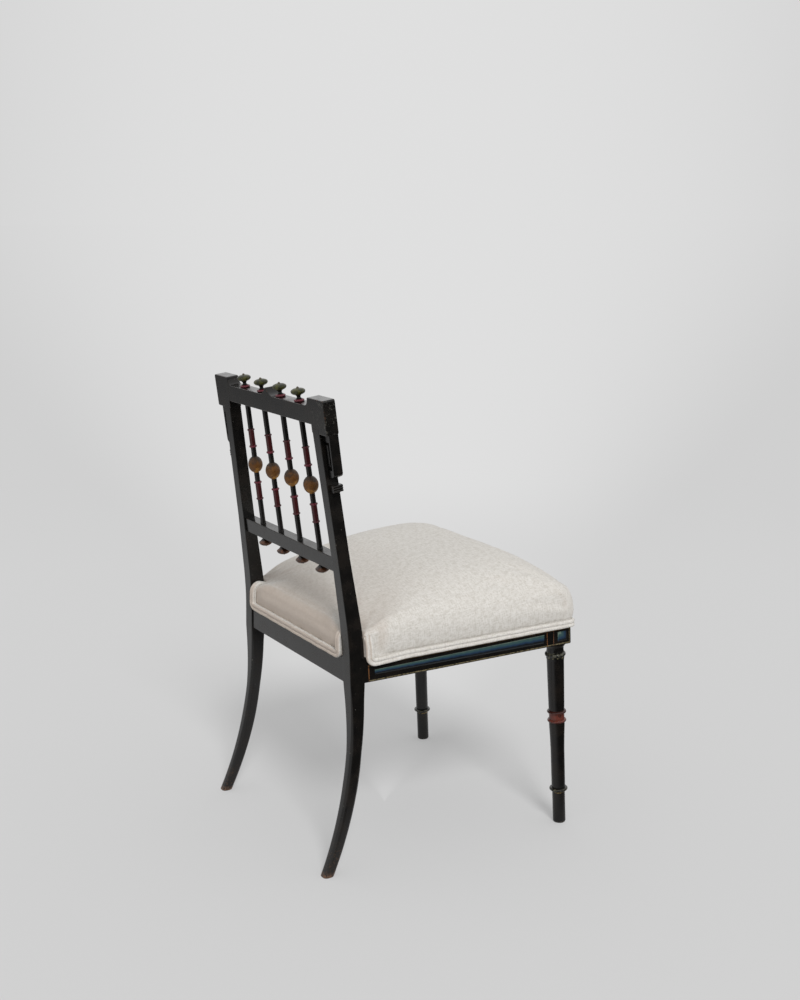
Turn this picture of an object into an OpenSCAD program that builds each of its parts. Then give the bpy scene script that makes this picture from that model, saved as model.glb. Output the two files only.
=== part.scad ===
// Ebonised side chair with a raked spindle back, turned front legs and a sprung, upholstered seat.
// The origin is on the floor, under the middle of the chair. The front faces -Y and Z is up.

/* [Rear posts] */
// Distance between the centres of the rear feet
foot_spread = 422; // [380:1:470]
// Inward lean of both posts, in degrees
post_lean = 2.68; // [1.5:0.1:4]
// Side of the square foot of a rear leg
post_foot = 20; // [18:0.5:24]
// Side of a rear leg at the ankle
post_ankle = 23; // [21:0.5:26]
// Width of a post at the seat
post_seat_w = 26.5; // [25:0.5:30]
// Depth of a post at the seat
post_seat_d = 28; // [26:0.5:32]
// Width of a post in the back
post_top_w = 23.5; // [22:0.5:26]
// Depth of a post in the back
post_top_d = 23; // [22:0.5:27]
// Radius of the sabre curve of the rear leg
sabre_r = 667; // [600:1:800]
// Height at which the sabre curve ends
sabre_top = 285; // [250:1:310]
// Height at which the post begins to lean back
rake_start = 370; // [350:1:390]
// Radius of the bend from the upright to the raked stretch
rake_r = 600; // [400:10:700]
// Lean of the back, in degrees
rake = 7.3; // [5:0.1:9]

/* [Square heads and ears] */
// Length of a post above the bend, measured along the back
post_run = 374.4; // [350:1:390]
// Width of the square head
head_w = 51.5; // [46:0.5:56]
// Height of the square head
head_h = 58; // [52:0.5:62]
// How far the head stands in past the post
head_lip = 2; // [1:0.5:4]
// How much further the head stands in beside the crest rail
head_shoulder = 5; // [1:0.5:7]
// Step from the head in to the ear
ear_step = 3.2; // [2:0.2:6]
// Length of the straight side of the ear
ear_h = 63.5; // [56:0.5:68]
// Set-back of the ear's rear face from the rear face of the post
ear_back = 6; // [3:0.5:7]
// Width of the sawn slit in the ear
slit_w = 4.5; // [3:0.1:5]
// Depth of the slit and of the channel beside the post
slit_d = 3.5; // [2:0.1:5]
// Distance from the ear's side to the middle of the slit
slit_in = 6.5; // [5.5:0.5:8]
// Width of the channel between the ear's tongue and the post
channel_w = 5; // [3:0.5:6]
// Gap between the ear and the reeded moulding
reed_gap = 9; // [6:0.5:12]
// Height of the reeded moulding
reed_h = 12; // [10:0.5:15]
// Reach of the reeded moulding from the post
reed_reach = 13; // [11:0.5:17]
// Length of the reeded moulding
reed_l = 18; // [14:0.5:20]

/* [Crest and lower rail] */
// Height of the crest rail at its flats
crest_h = 30; // [27:0.5:36]
// Height of the crest rail's underside above the undersides of the heads
crest_lift = 13.5; // [8:0.5:16]
// Radius of the coves beside the heads
cove_r = 12; // [8:0.5:13]
// Radius of the two arcs that form the cusp
cusp_r = 30; // [24:0.5:34]
// Half the width of the cusp
cusp_w = 26.5; // [22:0.5:29]
// Half the flat tip of the cusp
cusp_tip = 2; // [1:0.5:4]
// Height of the lower rail
low_h = 26; // [24:0.5:32]
// Height of the lower rail's underside above the bend, measured along the back
low_z = 77.5; // [70:0.5:90]
// Set-back of the lower rail from the rear face of the post
rear_step = 3.2; // [2:0.2:5]

/* [Spindles, knobs and drops] */
// Spindle places on the lower rail, from the middle, in hundredths of foot_spread
spindle_foot = [8.886, 26.517]; // [7:0.001:30]
// Spindle places on the crest rail, from the middle, in hundredths of foot_spread
spindle_head = [8.649, 25.237]; // [7:0.001:30]
// Spindle shaft
spindle_d = 9.4; // [8:0.1:11]
// Painted band between two rings
band_d = 10.4; // [9:0.1:12]
// Rings at the ends of a band
ring_d = 14; // [12:0.1:16]
// Thickness of a ring
ring_h = 3.4; // [2.5:0.1:4]
// Distance from the ball's middle to the inner ring
ring_near = 34; // [28:0.5:38]
// Distance from the ball's middle to the outer ring
ring_far = 65; // [55:0.5:75]
// Diameter of the ball
ball_d = 26; // [22:0.5:29]
// Height of the ball
ball_h = 31; // [26:0.5:34]
// Diameter of a crest knob
knob_d = 24.8; // [20:0.2:28]
// Height of a crest knob
knob_h = 25; // [22:0.5:30]
// Diameter of the disc under a knob
knob_base_d = 18; // [14:0.5:20]
// Diameter of a drop
drop_d = 25; // [20:0.5:28]
// Length of a drop
drop_h = 18; // [15:0.5:22]
// Diameter of the round tenons on spindles, knobs and drops
peg_d = 7; // [5:0.1:8]
// Length of the round tenons
peg_l = 10; // [8:0.5:11]

/* [Seat frame] */
// Height of the side rails' underside at the rear posts
seat_z = 331.2; // [318:0.1:345]
// Depth of the seat frame in front of the posts
seat_depth = 398; // [360:1:430]
// Rise of the seat to the front, in degrees
seat_slope = 2.86; // [1:0.02:4]
// Splay of each side rail, in degrees
splay = 7.4; // [4:0.1:9]
// Height of the rails
rail_h = 46; // [42:0.5:52]
// Thickness of the rails
rail_t = 22; // [20:0.5:25]
// Height of the painted wood that shows under the welt
show_h = 32; // [29:0.5:34]
// Set-back of the rear rail's face from the rear face of the post
rear_inset = 2.4; // [1:0.2:5]
// Square block on top of a front leg
block_w = 45; // [42:0.5:50]
// Rounding of the block's outer corner
corner_r = 3; // [2:0.5:5]
// Depth of the painted flute in the side rails
flute_d = 1.2; // [0.6:0.1:2]
// Height of the flute at its rear end
flute_rear_h = 8.5; // [7:0.5:12]
// Height of the flute at its front end
flute_front_h = 16; // [13:0.5:18]
// Length of the flat tenons
tenon_l = 10; // [8:0.5:11]
// Thickness of the flat tenons
tenon_t = 9; // [7:0.5:9.5]
// Clearance around every tenon
fit = 0.15; // [0.1:0.01:0.3]

/* [Front legs] */
// Distance of the leg's axis behind the front of the seat frame
leg_in = 19.5; // [18:0.5:22]
// Outward splay of the front legs, in degrees
leg_splay = 0.57; // [0:0.01:1.5]
// Diameter of the foot
leg_foot_d = 23.4; // [21:0.2:27]
// Diameter of the shaft above the foot ring
leg_low_d = 25; // [23:0.2:28]
// Diameter of the shaft under the collar
leg_top_d = 31.6; // [29:0.2:33]
// Diameter of the three rings
leg_ring_d = 34.6; // [31:0.2:37]
// Diameter of the collar under the block
collar_d = 38; // [35:0.2:41]
// Height of the foot ring above the floor
foot_ring_z = 66; // [55:1:80]
// Height of the middle of the painted band above the floor
leg_band_z = 209; // [190:1:225]
// Distance between the two rings of the band
leg_band_h = 17; // [13:0.5:22]
// Distance of the collar below the block
collar_drop = 22.5; // [20:0.5:26]

/* [Upholstery] */
// Bulge of the cover past the side rails
side_bulge = 9; // [6:0.5:13]
// Bulge of the cover past the front rail
front_bulge = 12; // [7:0.5:16]
// Bulge of the cover past the rear rail
rear_bulge = 3; // [1:0.5:6]
// Height of the seat's rolled edge above the underside of the rails
edge_h = 109; // [100:1:120]
// Rise of the crown above the rolled edge
crown = 53; // [35:1:60]
// Squareness of the crown
crown_power = 3.8; // [2.5:0.1:5]
// Lower roll along the back of the seat
rear_drop = 14; // [6:1:20]
// Radius of each cord of the double welt
cord_r = 3.5; // [2.5:0.1:4]
// Height of the welt's ends on the posts, above the underside of the rails
welt_end = 96; // [80:1:104]
// Dip of the side welt near the rear posts
welt_dip = 3; // [0:0.5:4]
// Width of a webbing strap
strap_w = 50; // [40:1:55]
// Thickness of a webbing strap
strap_t = 1.5; // [1:0.1:2]
// Distance between strap centres
strap_pitch = 105; // [90:1:110]
// Height of a spring
spring_h = 90; // [80:1:94]
// Radius of a spring at its ends
spring_r = 34; // [28:1:38]
// Spring wire
wire_d = 3.6; // [3:0.1:4.5]
// Clearance between soft pieces and the wood
soft_gap = 0.3; // [0.2:0.05:0.5]

/* [Hidden] */
$fn = 48;

black = "#1d1c1b";
red = "#6e2a22";
gilt = "#a8742e";
olive = "#6d6a2c";
copper = "#8a5230";
linen = "#d8d2c4";
jute = "#a98d5e";
pine = "#b08a57";
steel = "#8a8a88";
eps = 0.01;
tiny = 1;

// The line of a post: a sabre curve, an upright stretch, a bend and a raked straight.
sabre_kick = sabre_r - sqrt(pow(sabre_r, 2) - pow(sabre_top, 2));
nose_reach = (seat_depth + front_bulge) * cos(seat_slope) - 75 * sin(seat_slope);
post_line = (post_seat_d / 2 + nose_reach - sabre_kick - post_foot / 2) / 2;
bend_z = rake_start + rake_r * sin(rake);
bend_y = post_line + rake_r * (1 - cos(rake));
function sabre(z) = z < sabre_top ? sabre_r - sqrt(pow(sabre_r, 2) - pow(sabre_top - z, 2)) : 0;
function bend(z) = z < rake_start ? 0
    : z < bend_z ? rake_r - sqrt(pow(rake_r, 2) - pow(z - rake_start, 2))
    : rake_r * (1 - cos(rake)) + (z - bend_z) * tan(rake);
function post_y(z) = post_line + sabre(z) + bend(z);
function post_x(z) = foot_spread / 2 - z * tan(post_lean);

// Width, depth and edge rounding of a post at a height.
low_rail_level = bend_z + low_z * cos(rake);
function post_w(z) = lookup(z, [
    [0, post_foot], [150, post_ankle], [210, post_ankle], [300, post_seat_w - 0.5],
    [330, post_seat_w], [420, post_seat_w], [low_rail_level + low_h, post_top_w + 0.5],
    [620, post_top_w]]);
function post_d(z) = lookup(z, [
    [0, post_foot], [150, post_ankle], [210, post_ankle], [300, post_seat_d - 2],
    [330, post_seat_d], [420, post_seat_d], [low_rail_level + low_h, post_top_d]]);
function post_round(z) = lookup(z, [[0, 7], [210, 7], [300, 3.5], [330, 1.5]]);
function inner_x(z) = post_x(z) - post_w(z) / 2;
function outer_x(z) = post_x(z) + post_w(z) / 2;

// The same faces in the frame of the raked back.
function level(v) = bend_z + v * cos(rake);
function back_inner(v) = inner_x(level(v));
function back_outer(v) = outer_x(level(v));
head_z = post_run - head_h;
head_in = back_inner(head_z) - head_lip;
head_out = head_in + head_w;
crest_end = head_in - head_shoulder;
crest_z = head_z + crest_lift;
crest_top = crest_z + crest_h;
back_rear = post_top_d / 2 - rear_step;
back_front = -post_top_d / 2;
ear_rear = post_top_d / 2 - ear_back;
ear_out = head_out - ear_step;
ear_z = head_z - ear_h;
reed_z = ear_z - 12.5 - reed_gap - reed_h;

// The seat frame: its own plane rises to the front.
seat_y = post_line - post_seat_d / 2;
rail_rear = outer_x(seat_z) - 0.6;
function rail_x(y) = rail_rear - y * tan(splay);
front_y = -seat_depth;
block_y = front_y + block_w;
block_in = rail_x(front_y) - block_w;
leg_x = rail_x(front_y) - block_w / 2 - 1;
leg_y = front_y + leg_in;
rear_face = post_line + post_seat_d / 2 - rear_inset;
rear_rail_z = seat_z - 1.2;
leg_len = (seat_z - leg_y * sin(seat_slope)) / cos(seat_slope);
cusp_angle = asin((cusp_w - cusp_tip) / cusp_r);

function arc(c, r, a, b, n) = [for (i = [0 : n]) let (t = a + (b - a) * i / n) c + r * [cos(t), sin(t)]];
function oval(c, rx, ry, a, b, n) =
    [for (i = [0 : n]) let (t = a + (b - a) * i / n) c + [rx * cos(t), ry * sin(t)]];
function flip(points) = [for (i = [len(points) - 1 : -1 : 0]) [-points[i].x, points[i].y]];
function smooth(t) = let (s = min(max(t, 0), 1)) s * s * (3 - 2 * s);
function unit(v) = v / norm(v);

// Joins rings of n points each into a closed skin, with a fan of triangles at both ends.
function skin_faces(rings, n) = concat(
    [for (i = [0 : n - 1]) [i, (i + 1) % n, rings * n]],
    [for (j = [0 : rings - 2], i = [0 : n - 1])
        [j * n + i, (j + 1) * n + i, (j + 1) * n + (i + 1) % n]],
    [for (j = [0 : rings - 2], i = [0 : n - 1])
        [j * n + i, (j + 1) * n + (i + 1) % n, j * n + (i + 1) % n]],
    [for (i = [0 : n - 1]) [(rings - 1) * n + (i + 1) % n, (rings - 1) * n + i, rings * n + 1]]);
function middle_of(ring) = [for (k = [0 : 2]) let (v = [for (p = ring) p[k]]) (min(v) + max(v)) / 2];

module skin(rings) {
    points = [for (ring = rings) each ring];
    ends = [middle_of(rings[0]), middle_of(rings[len(rings) - 1])];
    polyhedron(concat(points, ends), skin_faces(len(rings), len(rings[0])), convexity = 6);
}

// Sweeps a section along a path: u points along the normal and v across the path.
function sweep_rings(path, normals, section) = [
    for (i = [0 : len(path) - 1])
        let (
            ahead = path[min(i + 1, len(path) - 1)],
            behind = path[max(i - 1, 0)],
            along = unit(ahead - behind),
            across = unit(cross(along, normals[i])),
            out = cross(across, along)
        )
        [for (p = section) path[i] + p.x * out + p.y * across]];

module on_side(s) {
    if (s > 0) {
        children();
    } else {
        mirror([1, 0, 0]) children();
    }
}

module in_back() {
    translate([0, bend_y, bend_z]) rotate([-rake, 0, 0]) children();
}

module in_seat() {
    translate([0, seat_y, seat_z]) rotate([-seat_slope, 0, 0]) children();
}

// A flat outline in X and Z, as thick as the distance from y0 to y1.
module plate(y0, y1) {
    translate([0, y1, 0]) rotate([90, 0, 0]) linear_extrude(y1 - y0) children();
}

// A box with all its edges broken by a small chamfer.
module soft_box(size, e) {
    hull() {
        translate([0, e, e]) cube(size - [0, 2 * e, 2 * e]);
        translate([e, 0, e]) cube(size - [2 * e, 0, 2 * e]);
        translate([e, e, 0]) cube(size - [2 * e, 2 * e, 0]);
    }
}

// Rear leg, back post and square head, cut from one plank.
post_levels = concat(
    [0, tiny],
    [for (i = [1 : 14]) sabre_top * i / 14],
    [rake_start - 45, rake_start - 22],
    [for (i = [0 : 6]) rake_start + (bend_z - rake_start) * i / 6],
    [low_rail_level, low_rail_level + low_h, 620, level(head_z + 6)]);

function post_ring(z) =
    let (
        edge = z < tiny ? 1.2 : 0,
        w = post_w(z) / 2 - edge,
        d = post_d(z) / 2 - edge,
        r = min(post_round(z), w - eps)
    )
    [for (q = [0 : 3], k = [0 : 4])
        let (
            a = q * 90 + k * 22.5,
            cx = (q == 0 || q == 3 ? 1 : -1) * (w - r),
            cy = (q < 2 ? 1 : -1) * (d - r)
        )
        [post_x(z) + cx + r * cos(a), post_y(z) + cy + r * sin(a), z]];

module post() {
    color(black) difference() {
        union() {
            skin([for (z = post_levels) post_ring(z)]);
            in_back() translate([head_in, back_front, head_z])
                soft_box([head_w, post_top_d - 0.4, head_h], 1.4);
            in_back() translate([crest_end, back_front, crest_z])
                soft_box([head_w / 2, post_top_d - 0.4, head_h - crest_lift], 1.4);
        }
        crest_tenon(fit);
        lower_tenon(fit);
        rear_tenon(fit);
        side_tenon(fit);
    }
}

// Square bracket under the head: a C-shaped slit and a channel leave a tongue on its rear face.
module ear() {
    slit_x = ear_out - slit_in;
    channel_in = back_outer(head_z) - tiny;
    slit_z = ear_z + 4;
    arm_z = ear_z + 0.73 * ear_h;
    foot_x = back_outer(ear_z) + 1;
    in_back() color(black) difference() {
        plate(back_front, ear_rear) polygon(concat(
            [[back_outer(head_z), head_z], [back_outer(ear_z - 13), ear_z - 13]],
            arc([foot_x + 2.5, ear_z - 14.5], 3, 135, 80, 3),
            arc([ear_out - 8, ear_z - 0], 8, -80, 0, 6),
            [[ear_out, head_z]]));
        plate(ear_rear - slit_d, ear_rear + tiny) {
            translate([slit_x - slit_w / 2, slit_z]) square([slit_w, arm_z + slit_w - slit_z]);
            translate([slit_x - 10, arm_z]) square([10, slit_w]);
            translate([slit_x - 10, slit_z]) square([10, slit_w + 1.5]);
            translate([channel_in, slit_z])
                square([back_outer(slit_z) + channel_w - channel_in, arm_z + slit_w - slit_z]);
        }
    }
}

// Small moulding with three reeds along its outer face.
module reed() {
    reed_r = reed_h / 6;
    tip = back_outer(reed_z) + reed_reach - reed_r;
    in_back() color(black) plate(back_front, back_front + reed_l) {
        polygon(concat(
            [[back_outer(reed_z + reed_h), reed_z + reed_h], [back_outer(reed_z - 4), reed_z - 4]],
            [[back_outer(reed_z - 4) + 3, reed_z - 2.5]],
            [[back_outer(reed_z) + 8, reed_z], [tip, reed_z], [tip, reed_z + reed_h]]));
        for (i = [0 : 2]) translate([tip, reed_z + reed_r * (2 * i + 1)]) circle(reed_r);
    }
}

// Crest rail: coves up to the heads and a cusp in the middle.
crest_half = concat(
    [[crest_end, crest_z], [crest_end, crest_top + cove_r]],
    arc([crest_end - cove_r, crest_top + cove_r], cove_r, 0, -90, 8),
    arc([cusp_w, crest_top + cusp_r], cusp_r, -90, -90 - cusp_angle, 8));

module crest_rail() {
    color(black) difference() {
        union() {
            in_back() plate(back_front, back_front + post_top_d - 0.4)
                polygon(concat(crest_half, flip(crest_half)));
            crest_tenon(0);
        }
        in_back() for (i = [0 : 3]) {
            spindle_place(i) translate([0, 0, spindle_len()]) peg_hole();
            translate([top_x(i), 0, crest_top]) mirror([0, 0, 1]) peg_hole();
        }
    }
}

module crest_tenon(gap) {
    in_back() for (s = [-1, 1]) on_side(s)
        translate([crest_end - eps, -tenon_t / 2 - gap, crest_z + 5 - gap])
            cube([tenon_l + eps + gap, tenon_t + 2 * gap, crest_h - 10 + 2 * gap]);
}

// Lower rail of the back, with its ends cut to the lean of the posts.
module lower_rail() {
    top = low_z + low_h;
    color(black) difference() {
        union() {
            in_back() plate(back_front, back_rear) polygon([
                [-back_inner(low_z), low_z], [back_inner(low_z), low_z],
                [back_inner(top), top], [-back_inner(top), top]]);
            lower_tenon(0);
        }
        in_back() for (i = [0 : 3]) {
            spindle_place(i) mirror([0, 0, 1]) peg_hole();
            translate([low_x(i), 0, low_z]) peg_hole();
        }
    }
}

module lower_tenon(gap) {
    in_back() for (s = [-1, 1]) on_side(s)
        translate([back_inner(low_z) - 2, back_front + 7 - gap, low_z + 4 - gap])
            cube([tenon_l + 2 + gap, tenon_t + 2 * gap, low_h - 8 + 2 * gap]);
}

// Spindle places: feet on the lower rail, heads on the crest rail.
function low_x(i) = (i < 2 ? -1 : 1) * foot_spread / 100 * spindle_foot[i < 2 ? 1 - i : i - 2];
function top_x(i) = (i < 2 ? -1 : 1) * foot_spread / 100 * spindle_head[i < 2 ? 1 - i : i - 2];
function spindle_fan(i) = atan2(top_x(i) - low_x(i), crest_z - low_z - low_h);
function spindle_len() = crest_z - low_z - low_h;
shy = 0.15;

module spindle_place(i) {
    fan = spindle_fan(i);
    translate([low_x(i), 0, low_z + low_h]) rotate([0, fan, 0]) children();
}

module peg() {
    translate([0, 0, -eps]) cylinder(d = peg_d, h = peg_l + eps);
}

module peg_hole() {
    translate([0, 0, -tiny]) cylinder(d = peg_d + 2 * fit, h = peg_l + tiny + 0.5);
}

module ring(d, h, z) {
    translate([0, 0, z]) rotate_extrude() translate([d / 2 - h / 2, 0]) circle(d = h);
}

// A spindle: plain shaft, two ringed bands and a ball at the middle.
module spindle(i) {
    middle = spindle_len() / 2;
    in_back() spindle_place(i) {
        color(black) {
            translate([0, 0, shy]) cylinder(d = spindle_d, h = spindle_len() - 2 * shy);
            for (end = [0, 1]) translate([0, 0, end * spindle_len()]) mirror([0, 0, end]) {
                translate([0, 0, shy]) cylinder(d1 = spindle_d + 1.4, d2 = spindle_d, h = 6);
                translate([0, 0, -peg_l]) cylinder(d = peg_d, h = peg_l + 1);
            }
        }
        translate([0, 0, middle]) color(red) for (s = [-1, 1]) {
            ring(ring_d, ring_h + 0.6, s * ring_near);
            ring(ring_d - 0.6, ring_h - 0.4, s * ring_far);
            translate([0, 0, s > 0 ? ring_near : -ring_far])
                cylinder(d = band_d, h = ring_far - ring_near);
        }
        translate([0, 0, middle]) color(gilt) rotate_extrude()
            polygon(oval([0, 0], ball_d / 2, ball_h / 2, -90, 90, 20));
    }
}

// A knob on the crest rail: disc, neck and flat mushroom.
knob_neck = 3.4;
knob_wide_z = knob_h * 0.66;
knob_outline = concat(
    [[0, 0]],
    arc([knob_base_d / 2 - 2, 2], 2, -90, 40, 5),
    [[knob_neck + 1.8, knob_h * 0.2], [knob_neck, knob_h * 0.26], [knob_neck, knob_h * 0.35]],
    oval([knob_neck + 1, knob_wide_z], knob_d / 2 - knob_neck - 1, knob_h * 0.27, -80, 0, 6),
    oval([2, knob_wide_z], knob_d / 2 - 2, knob_h * 0.25, 12, 84, 6),
    oval([0, knob_h - 1.6], 1.9, 1.6, 10, 90, 3));

module knob(i) {
    in_back() translate([top_x(i), 0, crest_top]) {
        color(olive) rotate_extrude() polygon(knob_outline);
        color(black) mirror([0, 0, 1]) peg();
    }
}

// A drop under the lower rail: a cone that ends in a rounded underside.
drop_outline = concat(
    [[0, 0], [peg_d / 2 + 1, 0], [peg_d / 2 + 1.4, 2]],
    oval([0, drop_h * 0.52], drop_d / 2, drop_h * 0.18, -35, 0, 3),
    oval([0, drop_h * 0.52], drop_d / 2, drop_h * 0.4, 12, 80, 6),
    oval([0, drop_h - 1.6], 2, 1.6, 10, 90, 3));

module drop(i) {
    in_back() translate([low_x(i), 0, low_z]) {
        color(copper) mirror([0, 0, 1]) rotate_extrude() polygon(drop_outline);
        color(black) peg();
    }
}

// Rear seat rail, upright, between the posts.
module rear_rail() {
    top = rear_rail_z + rail_h;
    color(black) union() {
        plate(rear_face - rail_t, rear_face) polygon([
            [-inner_x(rear_rail_z), rear_rail_z], [inner_x(rear_rail_z), rear_rail_z],
            [inner_x(top), top], [-inner_x(top), top]]);
        rear_tenon(0);
    }
}

module rear_tenon(gap) {
    for (s = [-1, 1]) on_side(s)
        translate([inner_x(rear_rail_z) - 3, rear_face - tenon_t - 4 - gap, rear_rail_z + 8 - gap])
            cube([tenon_l + 3 + gap, tenon_t + 2 * gap, rail_h - 16 + 2 * gap]);
}

// Side rail with the tapered painted flute on its outer face.
module side_rail() {
    inward = rail_t / cos(splay);
    rear_end = 4;
    color(black) union() {
        difference() {
            in_seat() difference() {
                linear_extrude(rail_h) polygon([
                    [rail_x(block_y), block_y], [rail_x(rear_end), rear_end],
                    [rail_x(rear_end) - inward, rear_end], [rail_x(block_y) - inward, block_y]]);
                flute();
            }
            translate([0, seat_y, 0]) cube([foot_spread, seat_depth, 2 * seat_z]);
        }
        side_tenon(0);
        front_tenon(0);
    }
}

// Shallow scoop along the outer face: it grows towards the front.
flute_rear = -19;
flute_front_gap = 7;
module flute() {
    half = [for (y = [block_y + flute_front_gap, flute_rear])
        let (h = y == flute_rear ? flute_rear_h : flute_front_h, mid = show_h / 2 + 0.5)
        [[rail_x(y) + tiny, y, mid - h / 2], [rail_x(y) + tiny, y, mid + h / 2],
         [rail_x(y) - flute_d, y, mid + h * 0.3], [rail_x(y) - flute_d, y, mid - h * 0.3]]];
    skin([half[1], half[0]]);
}

// The flat tenon of the side rail, in the front face of the post.
module side_tenon(gap) {
    difference() {
        in_seat() translate([rail_rear, 0, 8 - gap]) rotate([0, 0, splay])
            translate([-rail_t / 2 - tenon_t / 2 - gap, -2, 0])
            cube([tenon_t + 2 * gap, tenon_l + 5, rail_h - 16 + 2 * gap]);
        translate([0, seat_y + tenon_l + gap, 0]) cube([foot_spread, seat_depth, 2 * seat_z]);
    }
}

// The other tenon of the side rail, in the rear face of the front block.
module front_tenon(gap) {
    in_seat() translate([rail_x(block_y), block_y, 0]) rotate([0, 0, splay])
        translate([-rail_t / 2 - tenon_t / 2 - gap, -tenon_l - gap, 8 - gap])
        cube([tenon_t + 2 * gap, tenon_l + 2 + gap, rail_h - 16 + 2 * gap]);
}

// Front rail between the two blocks.
module front_rail() {
    color(black) in_seat() {
        translate([-block_in, front_y, 0]) cube([2 * block_in, rail_t, rail_h]);
        front_rail_tenon(0);
    }
}

module front_rail_tenon(gap) {
    for (s = [-1, 1]) on_side(s)
        translate([block_in - tiny, front_y + rail_t / 2 - tenon_t / 2 - gap, 8 - gap])
            cube([tenon_l + tiny + gap, tenon_t + 2 * gap, rail_h - 16 + 2 * gap]);
}

// Turned outline of a front leg, from the floor up to the block.
leg_outline = [
    [0, -3], [leg_foot_d / 2 - 1, -3], [leg_foot_d / 2 - 1, 0], [leg_foot_d / 2, 2],
    [leg_foot_d / 2, foot_ring_z - 6], [leg_low_d / 2, foot_ring_z + 8],
    [leg_low_d / 2 + 0.2, foot_ring_z + 78], [leg_low_d / 2 + 1, leg_band_z - 36],
    [leg_low_d / 2 + 1.9, leg_band_z - leg_band_h / 2 - 8],
    [leg_low_d / 2 + 1.5, leg_band_z - leg_band_h / 2],
    [leg_low_d / 2 + 1.5, leg_band_z + leg_band_h / 2],
    [leg_low_d / 2 + 2, leg_band_z + leg_band_h / 2 + 10],
    [leg_top_d / 2, leg_len - collar_drop - 10], [leg_top_d / 2 + 0.8, leg_len - collar_drop - 7],
    [leg_top_d / 2 + 0.8, leg_len - collar_drop], [leg_top_d / 2 - 0.4, leg_len - collar_drop + 9],
    [leg_top_d / 2, leg_len - collar_drop + 14], [leg_top_d / 2 + 3.5, leg_len - 3],
    [leg_top_d / 2 + 4, leg_len + 0.5], [0, leg_len + 0.5]];

module front_leg() {
    difference() {
        union() {
            in_seat() translate([leg_x, leg_y, 0]) rotate([0, -leg_splay, 0])
                translate([0, 0, -leg_len]) {
                    color(black) rotate_extrude() polygon(leg_outline);
                    color(black) ring(leg_ring_d - 1, 5.5, foot_ring_z);
                    color(red) ring(leg_ring_d, 5, leg_band_z - leg_band_h / 2);
                    color(red) ring(leg_ring_d + 0.4, 5, leg_band_z + leg_band_h / 2);
                    color(black) ring(collar_d, 8, leg_len - collar_drop);
                }
            color(black) block();
        }
        translate([0, -seat_depth, -post_foot]) cube([foot_spread, seat_depth, post_foot]);
        front_tenon(fit);
        in_seat() front_rail_tenon(fit);
    }
}

// Square block whose outer face follows the splay of the side rail, with a square sunk panel.
module block() {
    turn = [rail_x(front_y + corner_r) - corner_r / cos(splay), front_y + corner_r];
    mid = [rail_x(front_y + block_w * 0.42), front_y + block_w * 0.42, show_h / 2 + 0.5];
    in_seat() difference() {
        linear_extrude(rail_h) polygon(concat(
            [[block_in, block_y], [block_in, front_y]],
            arc(turn, corner_r, -90, splay, 6),
            [[rail_x(block_y), block_y]]));
        translate(mid) rotate([0, 0, splay])
            translate([-flute_d, -flute_front_h / 2, -flute_front_h / 2])
            cube([flute_d + tiny, flute_front_h, flute_front_h]);
    }
}

// Glue blocks in the four corners of the frame, flush with the rails' undersides.
block_leg = 52;
module corner_blocks() {
    front_in = front_y + rail_t;
    rear_in = (rear_face - rail_t - seat_y) / cos(seat_slope);
    inward = rail_t / cos(splay);
    edge = block_in;
    color(pine) in_seat() for (s = [-1, 1]) on_side(s) translate([0, 0, 6]) {
        linear_extrude(rail_h - 16) polygon([
            [edge, front_in], [edge, block_y], [rail_x(block_y) - inward, block_y],
            [rail_x(block_y + 22) - inward, block_y + 22], [edge - block_leg + 22, front_in]]);
        linear_extrude(rail_h - 16) polygon([
            [rail_x(-1) - inward, -1], [rail_x(-block_leg) - inward, -block_leg],
            [rail_x(-1) - inward - block_leg, -1]]);
    }
}

// Straps tacked under the rails: each rises over every second strap that it meets.
function wave(lift, phase, n) = [for (i = [-n : n]) each [for (k = [-1, 1])
    [i * strap_pitch + k * (strap_w / 2 + 1), (i + phase + 2 * n) % 2 == 0 ? lift : 0]]];

function strap_outline(phase, n, reach) =
    let (
        held = reach - rail_t,
        line = concat(
            [[-reach, 0], [-held, 0]], wave(strap_t + 0.1, phase, n), [[held, 0], [reach, 0]]),
        upper = [for (i = [len(line) - 1 : -1 : 0]) line[i] + [0, strap_t]]
    )
    concat(line, upper);

module strap(phase, n, reach) {
    translate([0, strap_w / 2, 0]) rotate([90, 0, 0]) linear_extrude(strap_w)
        polygon(strap_outline(phase, n, reach));
}

web_y = front_y / 2 + 4;
web_z = -strap_t;
module webbing() {
    deep_half = seat_depth / 2 - 10;
    color(jute) in_seat() translate([0, web_y, web_z]) {
        for (i = [-1 : 1]) {
            reach = rail_x(web_y + i * strap_pitch) - 12;
            translate([0, i * strap_pitch, 0]) strap(i, 1, reach);
        }
        for (i = [-1 : 1])
            translate([i * strap_pitch, 0, 0]) rotate([0, 0, 90]) strap(i + 1, 1, deep_half);
    }
}

// Waisted coil spring: its end turns lie flat.
spring_turns = 5;
function spring_point(t) =
    let (
        turn = t * spring_turns,
        rise = smooth((turn - 0.7) / (spring_turns - 1.4)),
        r = spring_r - 11 * sin(180 * min(max((turn - 0.5) / (spring_turns - 1), 0), 1))
    )
    [r * cos(360 * turn), r * sin(360 * turn), wire_d / 2 + rise * (spring_h - wire_d)];

module spring() {
    steps = spring_turns * 9;
    path = [for (i = [0 : steps]) spring_point(i / steps)];
    section = [for (a = [0 : 72 : 359]) wire_d / 2 * [cos(a), sin(a)]];
    skin(sweep_rings(path, [for (p = path) unit([p.x, p.y, 0])], section));
}

spring_z = strap_t + 0.1 + soft_gap;
module springs() {
    places = concat([[0, 0]], [for (i = [-1, 1], j = [-1, 1]) [i, j] * strap_pitch]);
    color(steel) in_seat() for (p = places)
        translate([p.x, web_y + p.y, spring_z]) spring();
}

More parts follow.
